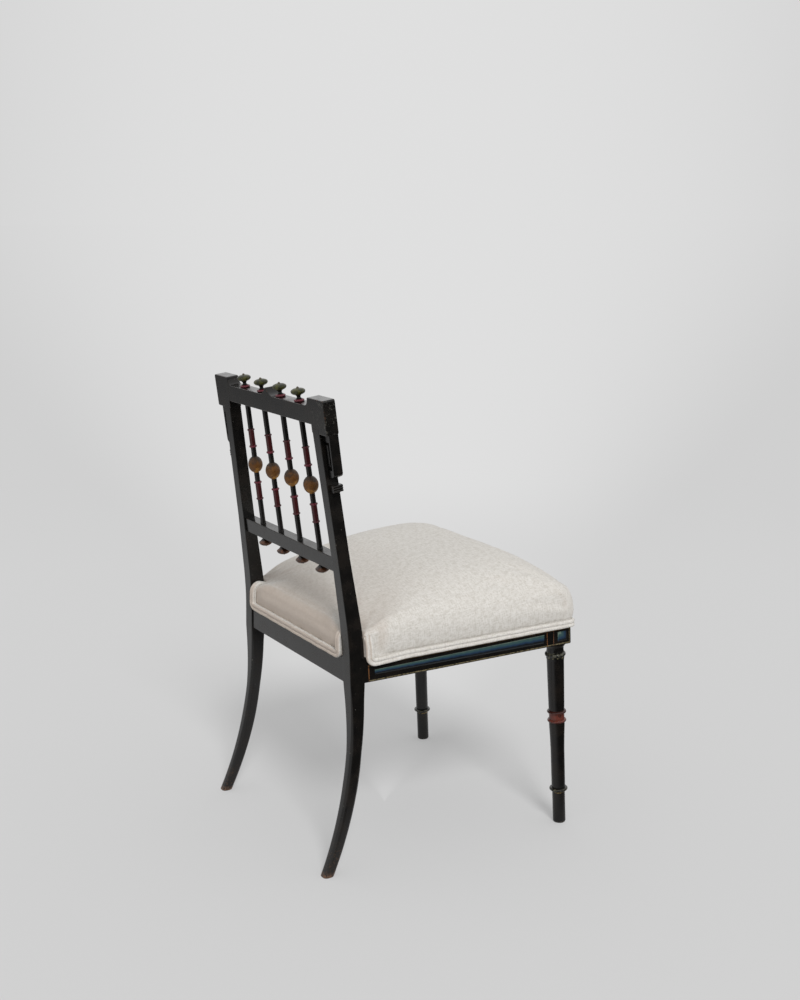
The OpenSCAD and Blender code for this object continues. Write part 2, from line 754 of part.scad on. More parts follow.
// Plan outline of the seat at one height: rail faces with a bulge, and a notch at each post.
seat_rear = (rear_face - seat_y) / cos(seat_slope);
function side_of(y, g) = rail_x(y) + g / cos(splay);
function notch_y(z) = bend(seat_z + z) - z * tan(seat_slope) - soft_gap;
function notch_x(z) = inner_x(seat_z + z) - soft_gap;
function rear_y(z) = seat_rear - z * tan(seat_slope);
function off_welt(d) = smooth((d - welt_w - 1) / 30);
function plan(g, gf, gr, r, z) =
    let (
        yf = front_y - gf,
        corner = [side_of(yf + r, g) - r / cos(splay), yf + r],
        span = notch_y(z) - corner.y,
        right = concat(
            [for (t = [0 : 4]) [corner.x * t / 5, yf]],
            arc(corner, r, -90, splay, 6),
            [for (t = [0.12, 0.3, 0.5, 0.7, 0.82, 0.9, 0.95, 1]) let (y = corner.y + span * t)
                [side_of(y, g * off_welt(notch_y(z) - y)), y]],
            [[notch_x(z), notch_y(z)], [notch_x(z), rear_y(z)]],
            [for (t = [0.92, 0.85, 0.75, 0.6, 0.4, 0.2, 0]) let (x = notch_x(z) * t)
                [x, rear_y(z) + gr * off_welt(notch_x(z) - x)]])
    )
    concat(right, [for (i = [len(right) - 2 : -1 : 1]) [-right[i].x, right[i].y]]);

// Height of the crown over the rolled edge: it falls off steeply near the borders.
seat_mid = (front_y + seat_rear) / 2;
seat_half = (seat_rear - front_y) / 2;
function roll_at(p) = rear_drop * smooth(((p.y - seat_mid) / seat_half - 0.62) / 0.38);
function crown_at(p) =
    let (
        u = min(abs(p.x) / side_of(p.y, side_bulge), 1),
        v = (p.y - seat_mid) / seat_half,
        vc = min(abs(v + 0.45 * (1 - v * v)), 1)
    )
    edge_h - roll_at(p) + crown * (1 - pow(u, crown_power)) * (1 - pow(vc, crown_power));

// Rings of the wall: height, corner radius, and shares of the bulge in front and behind.
wall = [
    [rail_h, corner_r, 0, 0], [rail_h + 4, 7, 0.3, 0], [rail_h + 16, 13, 0.75, 0.4],
    [rail_h + 32, 19, 1, 1], [edge_h - 18, 24, 0.95, 0.95], [edge_h - 6, 27, 0.6, 0.6]];

function wall_ring(w) =
    [for (p = plan(side_bulge * w[2], front_bulge * w[2], rear_bulge * w[3], w[1], w[0]))
        [p.x, p.y, w[0] - (w[0] > edge_h - 20 ? roll_at(p) : 0)]];

function top_ring(f) =
    [for (p = plan(0, 0, 0, 28, edge_h))
        let (q = [p.x * f, seat_mid + (p.y - seat_mid) * f])
        [q.x, q.y, crown_at(q)]];

// The hollow over the springs, and the hessian that closes it.
hessian_z = spring_z + spring_h + soft_gap;
hessian_t = 1.2;
function well(share) = [for (p = plan(0, 0, 0, 28, rail_h))
    [p.x * share, seat_mid + (p.y - seat_mid) * share]];

module spring_hessian() {
    color(jute) in_seat() translate([0, 0, hessian_z]) linear_extrude(hessian_t) polygon(well(0.81));
}

// Stuffed and covered seat, notched around the posts and hollow over the springs.
module seat_pad() {
    well_z = hessian_z + hessian_t + soft_gap;
    color(linen) in_seat() skin(concat(
        [for (z = [well_z, rail_h]) [for (p = well(0.82)) [p.x, p.y, z]]],
        [for (w = wall) wall_ring(w)],
        [for (f = [0.975, 0.94, 0.89, 0.82, 0.72, 0.58, 0.4, 0.2, 0.02]) top_ring(f)]));
}

// Section of the double welt: two cords side by side on a flat backing.
welt_w = 4 * cord_r;
cord_out = cord_r + 1.4;
welt_section = concat(
    arc([cord_out, -cord_r], cord_r, -140, 55, 6),
    arc([cord_out, cord_r], cord_r, -55, 140, 6),
    [[soft_gap, 1.7 * cord_r], [soft_gap, -1.7 * cord_r]]);
welt_bend = 10;
welt_z = show_h + welt_w / 2;

// Path of one half of the front welt: up the post, along the side and round the corner.
function side_point(y, z) = [rail_x(y), y, z];
welt_low = welt_z - welt_dip;
welt_start_y = notch_y(welt_low + welt_bend) - welt_w / 2;
side_normal = [cos(splay), sin(splay), 0];
welt_turn = [rail_x(front_y + corner_r) - corner_r / cos(splay), front_y + corner_r];
front_half_path = concat(
    [for (k = [0 : 3]) let (z = welt_end + (welt_low + welt_bend - welt_end) * k / 3)
        side_point(notch_y(z) - welt_w / 2, z)],
    [for (a = [-15 : -15 : -90])
        side_point(welt_start_y - welt_bend * (1 - cos(a)), welt_low + welt_bend * (1 + sin(a)))],
    [for (k = [1 : 6]) side_point(welt_start_y - welt_bend - 10 * k, welt_low + welt_dip * smooth(k / 6))],
    [for (a = [splay : -(90 + splay) / 7 : -91])
        [welt_turn.x + corner_r * cos(a), welt_turn.y + corner_r * sin(a), welt_z]],
    [[block_in, front_y, welt_z]]);
front_half_normals = [for (p = front_half_path)
    p.y > front_y + corner_r - eps ? side_normal
    : p.x > welt_turn.x ? unit([p.x - welt_turn.x, p.y - welt_turn.y, 0])
    : [0, -1, 0]];

function mirrored(list) = [for (i = [len(list) - 1 : -1 : 0]) [-list[i].x, list[i].y, list[i].z]];

module welt_front() {
    color(linen) in_seat() skin(sweep_rings(
        concat(front_half_path, mirrored(front_half_path)),
        concat(front_half_normals, mirrored(front_half_normals)),
        welt_section));
}

// The rear welt lies on the rear rail and climbs the inner edges of the posts.
rear_welt_z = rear_rail_z + rail_h + soft_gap;
rear_welt_x = inner_x(rear_welt_z) - welt_w / 2 - 1.5;
rear_welt_end = seat_z + welt_end - 6;
rear_half_path = concat(
    [for (k = [0 : 2])
        let (z = rear_welt_end + (rear_welt_z + welt_bend - rear_welt_end) * k / 2)
        [rear_welt_x - (z - rear_welt_z) * tan(post_lean), rear_face, z]],
    [for (a = [-15 : -15 : -90])
        [rear_welt_x - welt_bend * (1 - cos(a)), rear_face, rear_welt_z + welt_bend * (1 + sin(a))]]);

module welt_rear() {
    path = concat(rear_half_path, mirrored(rear_half_path));
    color(linen) skin(sweep_rings(path, [for (p = path) [0, 1, 0]], welt_section));
}

// Dark cloth tacked under the webbing.
dust_t = 0.8;
dust_in = 11;
module dust_cover() {
    front = front_y + dust_in;
    rear = -4;
    half = concat(
        [[0, front], [block_in - 1, front], [block_in - 1, block_y + 1]],
        [[rail_x(block_y + 1) - dust_in, block_y + 1], [rail_x(rear) - dust_in, rear], [0, rear]]);
    color("#262422") in_seat() translate([0, 0, web_z - dust_t - 0.2])
        linear_extrude(dust_t) polygon(concat(half, flip(half)));
}

on_side(1) post();  // post_left
on_side(-1) post();  // post_right
on_side(1) ear();  // ear_left
on_side(-1) ear();  // ear_right
on_side(1) reed();  // reed_left
on_side(-1) reed();  // reed_right
crest_rail();
lower_rail();
spindle(0);  // spindle_1
spindle(1);  // spindle_2
spindle(2);  // spindle_3
spindle(3);  // spindle_4
knob(0);  // knob_1
knob(1);  // knob_2
knob(2);  // knob_3
knob(3);  // knob_4
drop(0);  // drop_1
drop(1);  // drop_2
drop(2);  // drop_3
drop(3);  // drop_4
rear_rail();
front_rail();
on_side(1) side_rail();  // side_rail_left
on_side(-1) side_rail();  // side_rail_right
on_side(1) front_leg();  // front_leg_left
on_side(-1) front_leg();  // front_leg_right
corner_blocks();
webbing();
springs();
spring_hessian();
seat_pad();
welt_front();
welt_rear();
dust_cover();
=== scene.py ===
import math
from functools import partial

import bmesh
import bpy
import numpy as np
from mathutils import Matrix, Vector


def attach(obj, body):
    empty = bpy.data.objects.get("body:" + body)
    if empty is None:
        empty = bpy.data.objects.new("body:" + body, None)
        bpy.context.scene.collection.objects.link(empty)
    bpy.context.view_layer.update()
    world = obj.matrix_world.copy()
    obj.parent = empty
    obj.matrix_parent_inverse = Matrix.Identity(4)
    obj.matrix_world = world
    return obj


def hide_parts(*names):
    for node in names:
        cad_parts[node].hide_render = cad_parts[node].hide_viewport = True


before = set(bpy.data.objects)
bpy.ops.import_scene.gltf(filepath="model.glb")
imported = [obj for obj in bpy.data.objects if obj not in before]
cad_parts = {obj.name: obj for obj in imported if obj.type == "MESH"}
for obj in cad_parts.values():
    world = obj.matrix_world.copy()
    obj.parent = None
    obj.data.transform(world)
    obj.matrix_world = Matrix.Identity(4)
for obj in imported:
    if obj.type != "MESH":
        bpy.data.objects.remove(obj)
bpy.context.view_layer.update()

mm = 0.001


def metres(lengths):
    # millimetres to metres
    return [v * mm for v in lengths]


# Lines of the chair that several pieces share, in millimetres and degrees
chair = {
    "footSpread": 422, "postLean": 2.68, "postLine": 172.90,
    "sabreRadius": 667, "sabreTop": 285,
    "rakeStart": 370, "rakeRadius": 600, "rake": 7.3,
    "postTopDepth": 23, "postRun": 374.4,
    "seatY": 158.90, "seatZ": 331.2, "seatSlope": 2.86, "seatDepth": 398,
    "splay": 7.4, "railHeight": 46, "railThick": 22, "showHeight": 32,
    "rearFace": 184.5, "rearRailZ": 330.0, "blockWidth": 45,
    "crestZ": 329.9, "crestHeight": 30, "lowZ": 77.5, "lowHeight": 26,
    "spindleFoot": (37.5, 111.9), "spindleHead": (36.5, 106.5),
}

rake, slope, splay = (math.radians(chair[k]) for k in ("rake", "seatSlope", "splay"))
bendZ = chair["rakeStart"] + chair["rakeRadius"] * math.sin(rake)
bendY = chair["postLine"] + chair["rakeRadius"] * (1 - math.cos(rake))
crestTop = chair["crestZ"] + chair["crestHeight"]
lowTop = chair["lowZ"] + chair["lowHeight"]
frontY = -chair["seatDepth"]
blockY = frontY + chair["blockWidth"]
lowTopLevel = bendZ + chair["lowZ"] * math.cos(rake) + chair["lowHeight"]


def bend(z):
    # how far a post leans back at a height: an arc, then a straight stretch
    r, up = chair["rakeRadius"], np.clip(z, chair["rakeStart"], bendZ) - chair["rakeStart"]
    return r - np.sqrt(r * r - up * up) + np.clip(z - bendZ, 0, None) * math.tan(rake)


def postX(z):
    # half the spread of the feet, less the lean inwards up to a height
    return chair["footSpread"] / 2 - z * math.tan(math.radians(chair["postLean"]))


def postY(z):
    # the sabre curve below the seat, and the bend above it
    r, down = chair["sabreRadius"], np.clip(chair["sabreTop"] - z, 0, None)
    return chair["postLine"] + r - np.sqrt(r * r - down * down) + bend(z)


def postWidth(z):
    # straight tapers between given heights
    return np.interp(z, (0, 150, 210, 300, 330, 420, lowTopLevel, 620), (20, 23, 23, 26, 26.5, 26.5, 24, 23.5))


def postDepth(z):
    # straight tapers between given heights
    return np.interp(z, (0, 150, 210, 300, 330, 420, lowTopLevel), (20, 23, 23, 26, 28, 28, 23))


def innerX(z):
    # the post's middle line less half its width
    return postX(z) - postWidth(z) / 2


def outerX(z):
    # the post's middle line and half its width
    return postX(z) + postWidth(z) / 2


def level(v):
    # the height over the floor of a place that is measured up the raked back
    return bendZ + v * math.cos(rake)


railRear = outerX(chair["seatZ"]) - 0.6


def railX(y):
    # outer face of a side rail, in the seat's own frame
    return railRear - y * math.tan(splay)


blockIn = railX(frontY) - chair["blockWidth"]


def turned(points, angle, origin):
    # tips points back about X by an angle, then sets them on an origin in the YZ plane
    c, s = math.cos(angle), math.sin(angle)
    y, z = points[..., 1], points[..., 2]
    return np.stack([points[..., 0], y * c + z * s + origin[0], z * c - y * s + origin[1]], -1)


def inBack(points):
    # the back's own frame, tipped by the rake and set on the end of the posts' bend
    return turned(points, rake, (bendY, bendZ))


def inSeat(points):
    # the seat's own frame, tipped by its slope
    return turned(points, slope, (chair["seatY"], chair["seatZ"]))


def inRoom(points):
    # the room's own frame: points stay where they are
    return points


def arc(centre, radius, start, end, steps):
    # points of a circle or an ellipse from one angle to another, in degrees
    a = np.radians(np.linspace(start, end, steps + 1))
    rx, rz = (radius, radius) if np.isscalar(radius) else radius
    return np.stack([centre[0] + rx * np.cos(a), centre[1] + rz * np.sin(a)], -1)


def smooth(t):
    # an S-shaped step from 0 to 1: three t squared less two t cubed
    t = np.clip(t, 0, 1)
    return t * t * (3 - 2 * t)


def mirrored(half, skip=0):
    # half an outline and its mirror image; skip leaves out the ends that lie on the middle line
    flip = np.where(np.arange(half.shape[1]) == 0, -1, 1)
    return np.concatenate([half, (half[skip:len(half) - skip] * flip)[::-1]])


def addObject(name, data):
    # every object starts here, at the origin
    made = bpy.data.objects.new(name, data)
    bpy.context.scene.collection.objects.link(made)
    return made


def addSurface(name, grid, place, materials, uv=None, marks=None, side=1, pick=None, sharp=35):
    # rows of points round the piece become quads: point (row, column) joins (row + 1, column + 1), and
    # both ends are closed; side -1 mirrors it and turns each face round
    rows, cols = grid.shape[:2]
    points = place(np.asarray(grid, float)) * mm
    points[..., 0] *= side
    r, c = np.arange(rows - 1)[:, None], np.arange(cols)[None, :]
    corners = np.stack(np.broadcast_arrays(
        r * cols + c, r * cols + (c + 1) % cols, (r + 1) * cols + (c + 1) % cols, (r + 1) * cols + c), -1)
    ends = list(range(cols))[::-1], list(range((rows - 1) * cols, rows * cols))
    faces = [*corners.reshape(-1, 4).tolist(), *ends]
    mesh = bpy.data.meshes.new(name)
    mesh.from_pydata(points.reshape(-1, 3), [], [f[::side] for f in faces])
    if uv is not None:
        wide = uv if uv.shape[1] > cols else np.concatenate([uv, uv[:, :1]], 1)
        quads = np.stack([wide[:-1, :-1], wide[:-1, 1:], wide[1:, 1:], wide[1:, :-1]], 2)[:, :, ::side]
        flat = np.concatenate([quads.reshape(-1, 2), wide[0, :cols][::-side], wide[-1, :cols][::side]])
        mesh.uv_layers.new(name="UVMap").data.foreach_set("uv", flat.astype(np.float32).ravel())
    for key, values in (marks or {}).items():
        mesh.attributes.new(key, "FLOAT", "POINT").data.foreach_set(
            "value", np.broadcast_to(values, (rows, cols)).astype(np.float32).ravel())
    for m in materials:
        mesh.materials.append(m)
    if pick is not None:
        chosen = np.zeros(len(mesh.polygons), np.int32)
        chosen[:(rows - 1) * cols] = np.broadcast_to(pick, corners.shape[:2]).ravel()
        mesh.polygons.foreach_set("material_index", chosen)
    piece = cleaned(name, mesh, sharp, 2e-6)
    piece.modifiers.new("faceWeights", "WEIGHTED_NORMAL").keep_sharp = True
    return piece


def cleaned(name, mesh, sharp, nearby, flatten=False):
    # closes poles and seams, smooths the faces and keeps edges sharper than an angle
    work = bmesh.new()
    work.from_mesh(mesh)
    bmesh.ops.remove_doubles(work, verts=work.verts, dist=nearby)
    if flatten:
        bmesh.ops.dissolve_limit(work, angle_limit=math.radians(1.5), verts=work.verts, edges=work.edges)
    work.to_mesh(mesh)
    work.free()
    mesh.polygons.foreach_set("use_smooth", np.ones(len(mesh.polygons), bool))
    mesh.set_sharp_from_angle(angle=math.radians(sharp))
    return addObject(name, mesh)


def standsFor(piece, node):
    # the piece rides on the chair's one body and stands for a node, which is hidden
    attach(piece, "root")
    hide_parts(node)


def joined(name, parts):
    # several shells of one wooden piece become one object
    bpy.ops.object.select_all(action="DESELECT")
    for part in parts:
        part.select_set(True)
    bpy.context.view_layer.objects.active = parts[0]
    bpy.ops.object.join()
    parts[0].name = parts[0].data.name = name
    return parts[0]


def lathe(radius, height, sides):
    # a profile of radii and heights carried round its axis; v of the UV is the height in metres
    a = np.linspace(0, 2 * math.pi, sides, endpoint=False)
    r, h = radius[:, None], height[:, None]
    grid = np.stack(np.broadcast_arrays(r * np.cos(a), r * np.sin(a), h), -1)
    u = np.linspace(0, 1, sides + 1) * r.max() * 2 * math.pi
    return grid, np.stack(np.broadcast_arrays(u, h), -1) * mm


def plate(outline, front, rear, edge, steps=3):
    # an outline in X and Z, cut from a board between two depths, with its edges rounded to a radius;
    # the second result is 1 on the rounded edges and 0 on the faces
    ahead = np.roll(outline, -1, 0) - outline
    ahead /= np.linalg.norm(ahead, axis=1)[:, None]
    behind = np.roll(ahead, 1, 0)
    inward = np.stack([-(ahead + behind)[:, 1], (ahead + behind)[:, 0]], -1)
    inward /= np.linalg.norm(inward, axis=1)[:, None]
    turn = np.clip(np.sum(np.stack([-ahead[:, 1], ahead[:, 0]], -1) * inward, 1), 0.5, 1)
    a = np.linspace(0, math.pi / 2, steps + 1)
    inset, depth = edge * (1 - np.sin(a)), edge * (1 - np.cos(a))
    rim = edge * 1.8
    insets = np.concatenate([[rim], inset, [0, 0], inset[::-1], [rim]])
    depths = np.concatenate([[rear], rear - depth, [rear - rim, front + rim], (front + depth)[::-1], [front]])
    flat = outline[None] + inward[None] * (insets[:, None] / turn[None])[..., None]
    grid = np.stack([flat[..., 0], np.broadcast_to(depths[:, None], flat.shape[:2]), flat[..., 1]], -1)
    worn = np.ones(len(insets))
    worn[[0, steps + 2, steps + 3, -1]] = 0
    return grid, worn[:, None]


def softCorners(outline, radii, steps=4):
    # each corner becomes a curve, a weighted mean of the corner and a point on either side;
    # radius 0 keeps it sharp
    t = np.linspace(0, 1, steps + 1)[None, :, None]
    near = [np.roll(outline, k, 0) - outline for k in (1, -1)]
    a, b = (outline + n / np.linalg.norm(n, axis=1)[:, None] * np.asarray(radii, float)[:, None] for n in near)
    curves = (1 - t) ** 2 * a[:, None] + 2 * t * (1 - t) * outline[:, None] + t ** 2 * b[:, None]
    return np.concatenate([curve if radius else curve[:1] for curve, radius in zip(curves, radii)])


def mirroredOutline(outline, side):
    # on the right side x changes its sign and the order turns round
    return outline if side > 0 else (outline * (-1, 1))[::-1]


print("shape functions ready")


# Materials

def linear(code):
    # sRGB hex to the linear colour that shaders read
    c = np.array([int(code[i:i + 2], 16) for i in (1, 3, 5)]) / 255
    c = np.where(c <= 0.04045, c / 12.92, ((c + 0.055) / 1.055) ** 2.4)
    return (*c.tolist(), 1.0)


# settings that all nodes of a kind share here
usualSettings = {
    "Math": {"operation": "MULTIPLY"}, "Mix": {"data_type": "RGBA"},
    "MapRange": {"interpolation_type": "SMOOTHSTEP"},
}


def addNode(tree, kind, *values, named=None, out=None, **settings):
    # values go into the open sockets in their order, or into named ones, and a hex code becomes a colour;
    # it gives back the first open output, or the one asked for
    node = tree.nodes.new("ShaderNode" + kind)
    for key, value in {**usualSettings.get(kind, {}), **settings}.items():
        setattr(node, key, value)
    sockets = [socket for socket in node.inputs if socket.enabled]
    for socket, value in [*zip(sockets, values), *((node.inputs[key], v) for key, v in (named or {}).items())]:
        if isinstance(value, bpy.types.NodeSocket):
            tree.links.new(value, socket)
        else:
            socket.default_value = linear(value) if isinstance(value, str) else value
    return next((o for o in node.outputs if o.enabled), None) if out is None else node.outputs[out]


def newFinish(name):
    # an empty material: the call that adds its nodes, and the coordinates it can read
    made = bpy.data.materials.new(name)
    made.use_nodes = True
    made.node_tree.nodes.clear()
    add = partial(addNode, made.node_tree)
    return made, add, add("TexCoord").node.outputs


def coated(made, add, surface, height, depth, strength=1.0):
    # the surface shader over a relief of the given depth in metres
    bump = add("Bump", named={"Strength": strength, "Distance": depth, "Height": height})
    add("OutputMaterial", add("BsdfPrincipled", named={**surface, "Normal": bump}))
    return made


def stripe(add, value, low, high, soft):
    # 1 between two places along a coordinate, with a soft border
    return add("Math", add("MapRange", value, low - soft, low + soft),
               add("MapRange", value, high - soft, high + soft, 1, 0))


def over(add, under, code, pattern, low, high, share=1.0):
    # a second colour laid on, up to a share, where a pattern goes from one value to another
    return add("Mix", add("MapRange", pattern, low, high, 0, share), under, code)


def wavered(add, value, pattern, reach):
    # a coordinate or a height that a pattern moves to and fro, as a brush wavers
    return add("Math", value, add("Math", add("Math", pattern, 0.5, operation="SUBTRACT"), reach),
               operation="ADD")


def bands(add, colour, place, mask, soft, table):
    # painted stripes one after another: each has its two places in mm and its colour
    for *ends, code in table:
        colour = add("Mix", add("Math", stripe(add, place, *metres(ends), soft), mask), colour, code)
    return colour


wood = {
    "black": "#0f0e0d", "brownBlack": "#18130f", "dust": "#211e1a", "bare": "#4d3524", "foot": "#5a4232",
    "paleMark": "#6f6d64", "grainWidth": 1.4, "grainLength": 26, "gloss": 0.17, "dull": 0.3, "grainDepth": 0.03,
}


def woodGround(name, stretch=(1, 1, 0.06)):
    # stained close-grained wood: long faint streaks and a cloudy stain
    made, add, where = newFinish(name)
    grain = add("Mapping", where["Object"], named={"Scale": stretch})
    streaks = add("TexNoise", grain, 1000 / wood["grainWidth"], 2)
    cloud = add("TexNoise", where["Object"], 1000 / wood["grainLength"], 4)
    colour = over(add, wood["black"], wood["brownBlack"], cloud, 0.42, 0.75, 0.8)
    colour = over(add, colour, wood["dust"], streaks, 0.6, 0.8, 0.4)
    return made, add, where, colour, streaks, cloud


def varnished(made, add, colour, streaks, cloud, extra=None):
    # the shine of old shellac: cloudy, with the grain just felt through it
    rough = add("MapRange", cloud, 0.3, 0.7, wood["gloss"], wood["dull"])
    if extra is not None:
        rough = add("Math", rough, add("Math", extra, 0.25), operation="ADD")
    surface = {"Base Color": colour, "Roughness": rough, "IOR": 1.43}
    return coated(made, add, surface, streaks, wood["grainDepth"] * mm)


def ebonised(name="ebonisedWood", grain=(1, 1, 0.06)):
    # black stain under shellac, rubbed by hand: near black with a soft shine, brown where edges are worn
    made, add, where, colour, streaks, cloud = woodGround(name, grain)
    coords = where["Object"]
    worn, foot, paleMarked = (add("Attribute", out="Fac", attribute_name=n) for n in ("worn", "foot", "paleMarked"))
    chips = add("TexNoise", coords, 240, 5, 0.7)
    rubbed = add("Math", add("MapRange", chips, 0.53, 0.64), worn)
    ends = add("Math", add("MapRange", chips, 0.36, 0.58), foot)
    # pale grey blotches on the outer face of the right head, and small pale flecks all over
    marks = add("Math", add("MapRange", add("TexNoise", coords, 130, 6, 0.75), 0.53, 0.68), paleMarked)
    flecks = add("MapRange", add("TexNoise", coords, 300, 1), 0.77, 0.8)
    colour = add("Mix", add("Math", rubbed, 0.7), colour, wood["bare"])
    colour = add("Mix", ends, colour, wood["foot"])
    for mask in (marks, flecks):
        colour = add("Mix", add("Math", mask, 0.6), colour, wood["paleMark"])
    dull = add("Math", rubbed, add("Math", ends, marks, operation="ADD"), operation="ADD")
    return varnished(made, add, colour, streaks, cloud, dull)


linen = {
    "light": "#d1cec9", "dark": "#a7a196", "shaded": "#b1a193",
    "yarn": 0.8, "fleck": 2.6, "slub": 11.0, "cloud": 13.0, "depth": 0.16,
}


def linenCloth():
    # oatmeal linen, plain woven from uneven yarns: matt, softly heathered, with short slubs both ways
    made, add, where = newFinish("wovenLinen")
    uv, slub = where["UV"], 1000 / linen["slub"]

    def yarns(fine, detail):
        return add("Math", *(add("TexNoise", add("Mapping", uv, named={"Scale": scale}), 1.0, detail)
                             for scale in ((fine, slub, 1), (slub, fine, 1))), operation="ADD")

    weave = yarns(1000 / linen["yarn"], 1)
    fleck = add("TexNoise", uv, 1000 / linen["fleck"], 3, 0.6)
    heather = add("Math", yarns(1000 / linen["yarn"] / 3, 2), fleck, operation="ADD")
    cloud = add("TexNoise", uv, 1000 / linen["cloud"], 4, 0.7)
    colour = over(add, linen["light"], linen["dark"], heather, 1.25, 1.95, 0.6)
    colour = over(add, colour, linen["dark"], weave, 0.9, 1.3, 0.12)
    colour = over(add, colour, linen["dark"], cloud, 0.46, 0.66, 0.26)
    # painted shade: faces turned towards the rear are painted darker and warmer
    back = add("SeparateXYZ", where["Normal"], out=1)
    colour = over(add, colour, linen["shaded"], back, 0.1, 0.95, 0.75)
    surface = {"Base Color": colour, "Roughness": 0.95, "IOR": 1.35,
               "Sheen Weight": 0.12, "Sheen Roughness": 0.6}
    height = add("Math", weave, add("Math", heather, 0.4), operation="ADD")
    return coated(made, add, surface, height, linen["depth"] * mm)


turning = {
    "bands": ((36.2, 63.3, "#3b1516"), (31.9, 36.2, "#561825"), (63.3, 66.8, "#41141a")),
    "ballEnd": (14.3, 15.1), "ballTop": "#261705", "bronze": "#593608", "gilt": "#9a6b20", "tarnish": "#3a1e10",
}


def paintedTurning():
    # black spindle with oil-painted bands: dark red between the rings, and a bronzed ball painted darker
    # towards the top and golden below, the gold partly gilding and partly a painted highlight
    made, add, where, colour, _, cloud = woodGround("paintedSpindle")
    coords, along = where["Object"], add("SeparateXYZ", where["UV"], out=1)
    waver = add("TexNoise", coords, 160, 3)
    away = wavered(add, add("Math", along, operation="ABSOLUTE"), waver, 0.0012)
    colour = bands(add, colour, away, add("MapRange", waver, 0.3, 0.45, 0.6, 1), 0.0004, turning["bands"])
    drift = wavered(add, along, add("TexNoise", coords, 110, 4), 0.03)
    # the ball is painted darker towards the top and golden below: partly gilding, partly a painted highlight
    bronze = over(add, turning["ballTop"], turning["bronze"], drift, 0.013, 0.001)
    bronze = over(add, bronze, turning["gilt"], drift, -0.004, -0.014, 0.85)
    patches = add("TexNoise", coords, 260, 5, 0.7)
    bronze = over(add, bronze, turning["tarnish"], patches, 0.5, 0.68, 0.7)
    ball = add("MapRange", away, *metres(turning["ballEnd"]), 1, 0)
    return varnished(made, add, add("Mix", ball, colour, bronze), waver, cloud, ball)


tones = {
    "cap": ("#1a1d09", "#3a3a12"), "capFrom": (10.5, 12.5), "tip": "#4a4338", "tipFrom": (21.5, 24),
    "disc": "#5c2b32", "discBand": (-1, 4.2), "drop": ("#2e1a10", "#553420"), "dropFrom": (4, 7.5),
    "legRed": ((200.5, 217.5, "#5f2f26"), (197.2, 201.2, "#421b15"), (216.8, 220.8, "#341813")),
    "legGold": ((59.5, 61.3, "#85703f"), (65.5, 68.5, "#4c4a3a"), (1.8, 3.4, "#55503f"),
                (322.5, 324.2, "#7a7458"), (326.2, 333.5, "#4b4a3e")),
}


def blotched(add, where, pair):
    # brushed paint of two close tones, and the place along the turning
    blotch = add("TexNoise", where["Object"], 150, 4)
    return over(add, *pair, blotch, 0.38, 0.62), add("SeparateXYZ", where["UV"], out=1)


def paintedKnob():
    # olive-gold paint on the cap, a dark neck and a dull rose disc, all varnished
    made, add, where, colour, streaks, cloud = woodGround("paintedKnob")
    olive, up = blotched(add, where, tones["cap"])
    olive = over(add, olive, tones["tip"], up, *metres(tones["tipFrom"]))
    cap = add("MapRange", up, *metres(tones["capFrom"]))
    colour = add("Mix", cap, colour, olive)
    colour = add("Mix", stripe(add, up, *metres(tones["discBand"]), 0.0004), colour, tones["disc"])
    return varnished(made, add, colour, streaks, cloud, add("Math", cap, 0.6))


def paintedDrop():
    # the drop's neck stays black and the rest is copper brown
    made, add, where, colour, streaks, cloud = woodGround("paintedDrop")
    copper, down = blotched(add, where, tones["drop"])
    colour = over(add, colour, copper, down, *metres(tones["dropFrom"]))
    return varnished(made, add, colour, streaks, cloud)


def paintedLeg():
    # turned and ebonised, with a red band between two rings and thin rubbed gold lines
    made, add, where, colour, streaks, cloud = woodGround("paintedLeg")
    coords = where["Object"]
    up = wavered(add, add("SeparateXYZ", where["UV"], out=1), add("TexNoise", coords, 140, 3), 0.0014)
    rubbed = add("TexNoise", coords, 190, 5, 0.7)
    colour = bands(add, colour, up, add("MapRange", rubbed, 0.36, 0.5, 0.45, 1), 0.0005, tones["legRed"])
    colour = bands(add, colour, up, add("MapRange", rubbed, 0.47, 0.58, 0, 0.85), 0.0004, tones["legGold"])
    return varnished(made, add, colour, streaks, cloud)


rail = {
    "levelLines": ((1.5, 3.5, "#6a6149"), (28.2, 30.2, "#58462e")), "rearEnd": (-7.5, -6.9),
    "uprightReach": (1.5, 30.2), "lineSoft": 0.3,  # the upright lines end at the level ones
    "uprightLines": ((-9.0, -7.2, "#684529"), (-349.6, -348.3, "#684529"), (-362.6, -361.3, "#5f4332"),
                     (-394.6, -393.2, "#6a6149")),
    # teal and blue are the stripe's paint; navy is painted shade low in it, and pale is a painted highlight
    # near its top
    "teal": "#2c4749", "blue": "#172f47", "navyShade": "#070c11", "pale": "#5b6b60",
}


